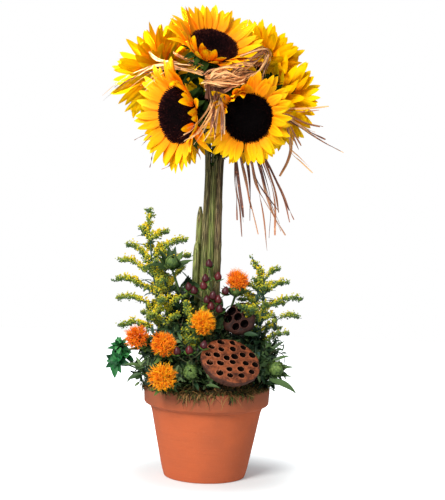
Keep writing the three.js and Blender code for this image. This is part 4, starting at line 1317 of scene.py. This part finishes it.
# ---------- hypericum ----------
# Sprigs of glossy dark-red berries, each pointed and sitting on five small green sepals.

SPRIGS = {  # stem, then berries
    "hypericum_high": (
        [(2, -30, 118), (3, -34, 190), (2, -36, 250), (-2, -37, 276)],
        [(-2, -38, 283), (-6, -42, 264), (10, -40, 267), (-20, -40, 248), (-27, -36, 252), (20, -44, 249),
         (4, -48, 243), (2, -50, 229), (13, -50, 226), (-8, -45, 255), (-3, -47, 237), (11, -47, 238)],
    ),
    "hypericum_low": (
        [(-16, -66, 118), (-18, -78, 150), (-20, -84, 168)],
        [(-5, -90, 184), (-23, -90, 177), (-38, -88, 175)],
    ),
}
berry_finishes = [
    Finish("berry_dark", (0.055, 0.004, 0.008), 0.4, Specular_IOR_Level=0.35),
    Finish("berry_red", (0.095, 0.007, 0.01), 0.38, Specular_IOR_Level=0.35),
    Finish("berry_tip", (0.03, 0.008, 0.008), 0.6),
    Finish("sepal", (0.1, 0.24, 0.045), 0.5, Specular_IOR_Level=0.25),
    Finish("twig", (0.09, 0.1, 0.035), 0.7),
]
BERRY_TIP, SEPAL, BERRY_TWIG = 2, 3, 4
berry_random = np.random.default_rng(61)
for name, (route, berries) in SPRIGS.items():
    line = smooth_route(np.array(route) * MM, 40)
    parts = [tube(line, np.linspace(1.3, 0.8, 40) * MM, 7, BERRY_TWIG)]
    for at in berries:
        centre = np.array(at) * MM
        up_stem = (centre[2] - 16 * MM - line[0, 2]) / (line[-1, 2] - line[0, 2])
        fork = point_along(line, np.clip(up_stem, 0.3, 0.97))
        lean = unit(unit(centre - fork) * 0.4 + np.array([0, -0.05, 1.0]) + berry_random.normal(0, 0.12, 3))
        base = centre - lean * 5.5 * MM
        sag = (fork + base) / 2 + [0, 0, -1.5 * MM]
        parts.append(tube(smooth_route([fork, sag, base], 12), np.full(12, 0.6 * MM), 5, BERRY_TWIG))
        one, two = cross_ways(lean)
        rings, sides = 14, 24
        turn = np.linspace(0, 2 * math.pi, sides, endpoint=False)
        spoke = rays(turn, one, two)
        rise = np.linspace(0, 1, rings)
        girth = 4.7 * np.sin(math.pi * rise**0.8) ** 0.75 + 0.12
        fluted = 1 + 0.035 * np.cos(turn * 3)[None, :, None] * rise[:, None, None]
        swelling = spoke[None] * girth[:, None, None] * MM * fluted
        shell = base + lean * (rise * 13 * MM)[:, None, None] + swelling
        tones = np.repeat(np.where(rise[:-1] > 0.93, BERRY_TIP, int(berry_random.random() < 0.55)), sides)
        parts.append((shell.reshape(-1, 3), ring_quads(rings, sides), tones))
        count = 5
        turn = np.linspace(0, 2 * math.pi, count, endpoint=False) + berry_random.random()
        out = rays(turn, one, two)
        points, faces, _, _ = blades(
            base + out * 0.8 * MM, frames_along(out + lean * 0.25, np.tile(lean, (count, 1))),
            np.full(count, 9 * MM), np.full(count, 3.0 * MM), np.full(count, 0.5),
            leaf_outline, rows=6, columns=3, fold=0.2,
        )
        parts.append((points, faces, np.full(len(faces), SEPAL)))
    finished(piece_from(f"{name}_sprig", *merged(parts)), berry_finishes, "berry", name)


# ---------- leaves ----------
# Leafy twigs fill the pot between the flowers. Each shoot leaves the moss, forks, and carries
# narrow leaves in a spiral to its tip.

LEAF_MASSES = {  # centre, half sizes, shoots, leaf length, leaf half width, and which greens
    "leaves_left": ((-66, -34, 158), (33, 32, 42), 26, 20, 3.6, (0, 5)),
    "leaves_front": ((-24, -58, 148), (34, 24, 32), 24, 15, 3.0, (0, 5)),
    "leaves_right": ((78, -12, 158), (26, 30, 36), 24, 19, 2.8, (0, 5)),
    "leaves_back_left": ((-52, 46, 158), (42, 36, 42), 28, 21, 3.6, (0, 5)),
    "leaves_back_right": ((50, 48, 156), (42, 36, 40), 28, 21, 3.6, (0, 5)),
}
TALL_SHOOTS = {
    "leaves_left": [
        (-34, -20, 230), (-22, -24, 216), (-42, -28, 216), (-14, -28, 204), (-30, -10, 240), (-48, -14, 222),
        (-30, -8, 262), (-24, -30, 246), (-38, -18, 250), (-20, -20, 228), (-26, -12, 252), (-34, -26, 236),
    ],
    "leaves_right": [
        (40, -18, 204), (58, -28, 200), (88, -34, 196), (28, -24, 196), (50, -10, 214), (74, -20, 208),
        (16, -34, 206), (22, -28, 198), (14, -38, 192), (20, -32, 222), (24, -22, 212), (15, -30, 214),
    ],
    "leaves_front": [(-6, -50, 184), (8, -46, 190), (-34, -60, 186), (20, -60, 172)],
}
GAP_LEAVES = {  # centre, spread, how many and seed
    "leaves_left": [((-37, -8, 220), (8, 7, 20), 90, 81), ((-24, -24, 190), (8, 8, 14), 40, 82)],
    "leaves_right": [((17, -22, 198), (5, 5, 14), 50, 83), ((52, -18, 190), (12, 8, 10), 40, 84)],
}
LEAF_COLOURS = [
    (0.012, 0.03, 0.014), (0.022, 0.055, 0.022), (0.045, 0.09, 0.03), (0.08, 0.14, 0.045),
    (0.14, 0.21, 0.08), (0.06, 0.045, 0.02), (0.006, 0.06, 0.016), (0.016, 0.13, 0.032),
    (0.05, 0.24, 0.065),
]
TWIG = 5
BRIGHT = 6
leaf_finishes = shades("leaf", LEAF_COLOURS, 0.5, 0.25)
leaf_random = np.random.default_rng(71)


def leafy(line, count, length, width, low, high, random, first=0.25):
    """A twig and the leaves that spiral up it."""
    share = np.linspace(first, 1, count)
    ahead = unit(np.gradient(line, axis=0))
    way = along(ahead, share)
    turn = np.arange(count) * GOLDEN_ANGLE + random.uniform(0, 6)
    one = unit(np.cross(way, [0.31, 0.17, 0.93]))
    two = np.cross(way, one)
    out = one * np.cos(turn)[:, None] + two * np.sin(turn)[:, None]
    size = random.uniform(0.7, 1.15, count) * (1 - 0.35 * share)
    heading = out + way * random.uniform(0.4, 1.1, count)[:, None]
    points, faces, _, which = blades(
        along(line, share), frames_along(heading, way), length * size * MM, width * size * MM,
        random.normal(-0.5, 0.4, count), leaf_outline, rows=6, columns=3, fold=0.28,
    )
    leaves = (points, faces, random.integers(low, high, count)[which])
    return [leaves, tube(line, np.linspace(0.9, 0.4, len(line)) * MM, 5, TWIG)]


for name, (centre, half, shoots, length, width, (low, high)) in LEAF_MASSES.items():
    centre = np.array(centre, float)
    half = np.array(half, float)
    parts = []
    tall = TALL_SHOOTS.get(name, [])
    for shoot in range(shoots + len(tall)):
        aim = unit(leaf_random.normal(size=3) * [1, 1, 0.8] + [0, 0, 0.35])
        tip = centre + aim * half * leaf_random.uniform(0.7, 1.0)
        tip[2] = max(tip[2], 128)
        if shoot >= shoots:
            tip = np.array(tall[shoot - shoots], float)
        foot = np.array([centre[0] * 0.72, centre[1] * 0.72, 118]) + leaf_random.normal(0, 7, 3) * [1, 1, 0]
        knee = foot * 0.45 + tip * 0.55 + np.array([0, 0, 8]) + leaf_random.normal(0, 4, 3)
        line = smooth_route(np.array([foot, knee, tip]) * MM, 20)
        parts += leafy(line, 15, length, width, low, high, leaf_random)
        for _ in range(2):
            start = line[int(leaf_random.integers(8, 15))]
            end = start + unit(leaf_random.normal(size=3) + aim * 0.8) * leaf_random.uniform(14, 24) * MM
            inside = (end / MM - centre) / half
            end = (centre + inside / max(1, np.linalg.norm(inside)) * half) * MM
            branch = smooth_route([start, (start + end) / 2 + [0, 0, 2 * MM], end], 12)
            parts += leafy(branch, 8, length, width, low, high, leaf_random, 0.1)
    for at, spread, leaves, seed in GAP_LEAVES.get(name, []):
        parts.append(thicket(at, spread, leaves, 17, 0, 3, seed))
    finished(piece_from(f"{name}_twigs", *merged(parts)), leaf_finishes, "leaf", name)

# Single leaves that lean out over the rim: start, heading, length, half width and bend of each.
SINGLE_LEAVES = [
    ((80, -56, 139), (1.0, -0.25, -0.15), 41, 5.0, -1.0),
    ((76, -48, 132), (0.9, -0.5, 0.3), 30, 3.2, -1.2),
    ((88, -40, 150), (1.0, -0.3, 0.35), 24, 2.8, -0.5),
    ((84, -38, 160), (1.0, -0.2, 0.6), 24, 2.6, -0.7),
    ((86, -44, 143), (1.0, -0.4, 0.1), 24, 2.6, -0.3),
    ((80, -30, 172), (1.0, -0.2, 0.9), 24, 2.4, -0.4),
    ((-84, -58, 142), (-1.0, -0.3, -0.2), 26, 2.6, -1.5),
    ((-84, -56, 150), (-1.0, -0.4, 0.5), 24, 2.6, -1.2),
    ((-50, -72, 132), (-0.6, -0.7, -0.1), 26, 3.0, -0.6),
    ((0, -88, 134), (0.8, -0.7, 0.2), 20, 2.4, -0.8),
    ((46, -52, 196), (0.95, -0.5, 0.1), 19, 3.8, -0.3),
    ((-16, -84, 138), (0.3, -0.8, -0.3), 18, 2.6, -0.5),
]
place, heading, long, half_width, bend = [np.array(column, float) for column in zip(*SINGLE_LEAVES)]
singles = len(SINGLE_LEAVES)
points, faces, _, which = blades(
    place * MM, frames_along(heading, np.tile([0.0, -0.8, 0.8], (singles, 1))), long * MM,
    half_width * MM, bend, leaf_outline, rows=14, columns=5, fold=0.25,
)
single_piece = piece_from("leaves_over_rim", points, faces, leaf_random.integers(1, 4, singles)[which])
finished(single_piece, leaf_finishes, "leaf", "leaves_right", "leaves_front", "leaves_left")

ROSETTES = [  # centre, the way each leans, how many leaves, and their length
    ((-115, -44, 176), (-0.3, -0.5, 0.7), 20, 16),
    ((-118, -52, 157), (-0.4, -0.75, 0.25), 18, 17),
    ((-106, -46, 165), (0.15, -0.6, 0.6), 12, 14),
]
rosette_parts = []
for centre, lean, count, size in ROSETTES:
    lean = unit(np.array(lean))
    heart = np.array(centre) * MM
    one, two = cross_ways(lean)
    turn = np.arange(count) * GOLDEN_ANGLE
    out = rays(turn, one, two)
    rise = np.linspace(1.3, 0.05, count)[:, None]
    points, faces, _, which = blades(
        heart - np.outer(np.linspace(0, 5, count), lean) * MM,
        frames_along(out + lean * rise, np.tile(lean, (count, 1))),
        size * np.linspace(0.5, 1.15, count) * MM, size * 0.25 * np.linspace(0.7, 1.1, count) * MM,
        leaf_random.normal(-0.5, 0.6, count), leaf_outline, rows=9, columns=5, fold=0.22,
    )
    rosette_parts.append((points, faces, leaf_random.integers(BRIGHT, BRIGHT + 3, count)[which]))
    foot = np.array([-58, -30, 118]) * MM
    knee = np.array([-86, -38, 142]) * MM
    line = smooth_route([foot, knee, heart - lean * 6 * MM], 24)
    rosette_parts.append(tube(line, np.full(24, 1.1 * MM), 6, 2))
droop = np.array([[-119, -54, 153]]) * MM
points, faces, _, _ = blades(
    droop, frames_along(np.array([[0.05, -0.25, -1.0]]), np.array([[0.2, -1.0, 0.2]])), np.array([19 * MM]),
    np.array([4.4 * MM]), np.array([0.2]), leaf_outline, rows=9, columns=5, fold=0.2,
)
rosette_parts.append((points, faces, np.full(len(faces), BRIGHT + 1)))
finished(piece_from("leaves_rosette_sprig", *merged(rosette_parts)), leaf_finishes, "leaf", "leaves_rosette")
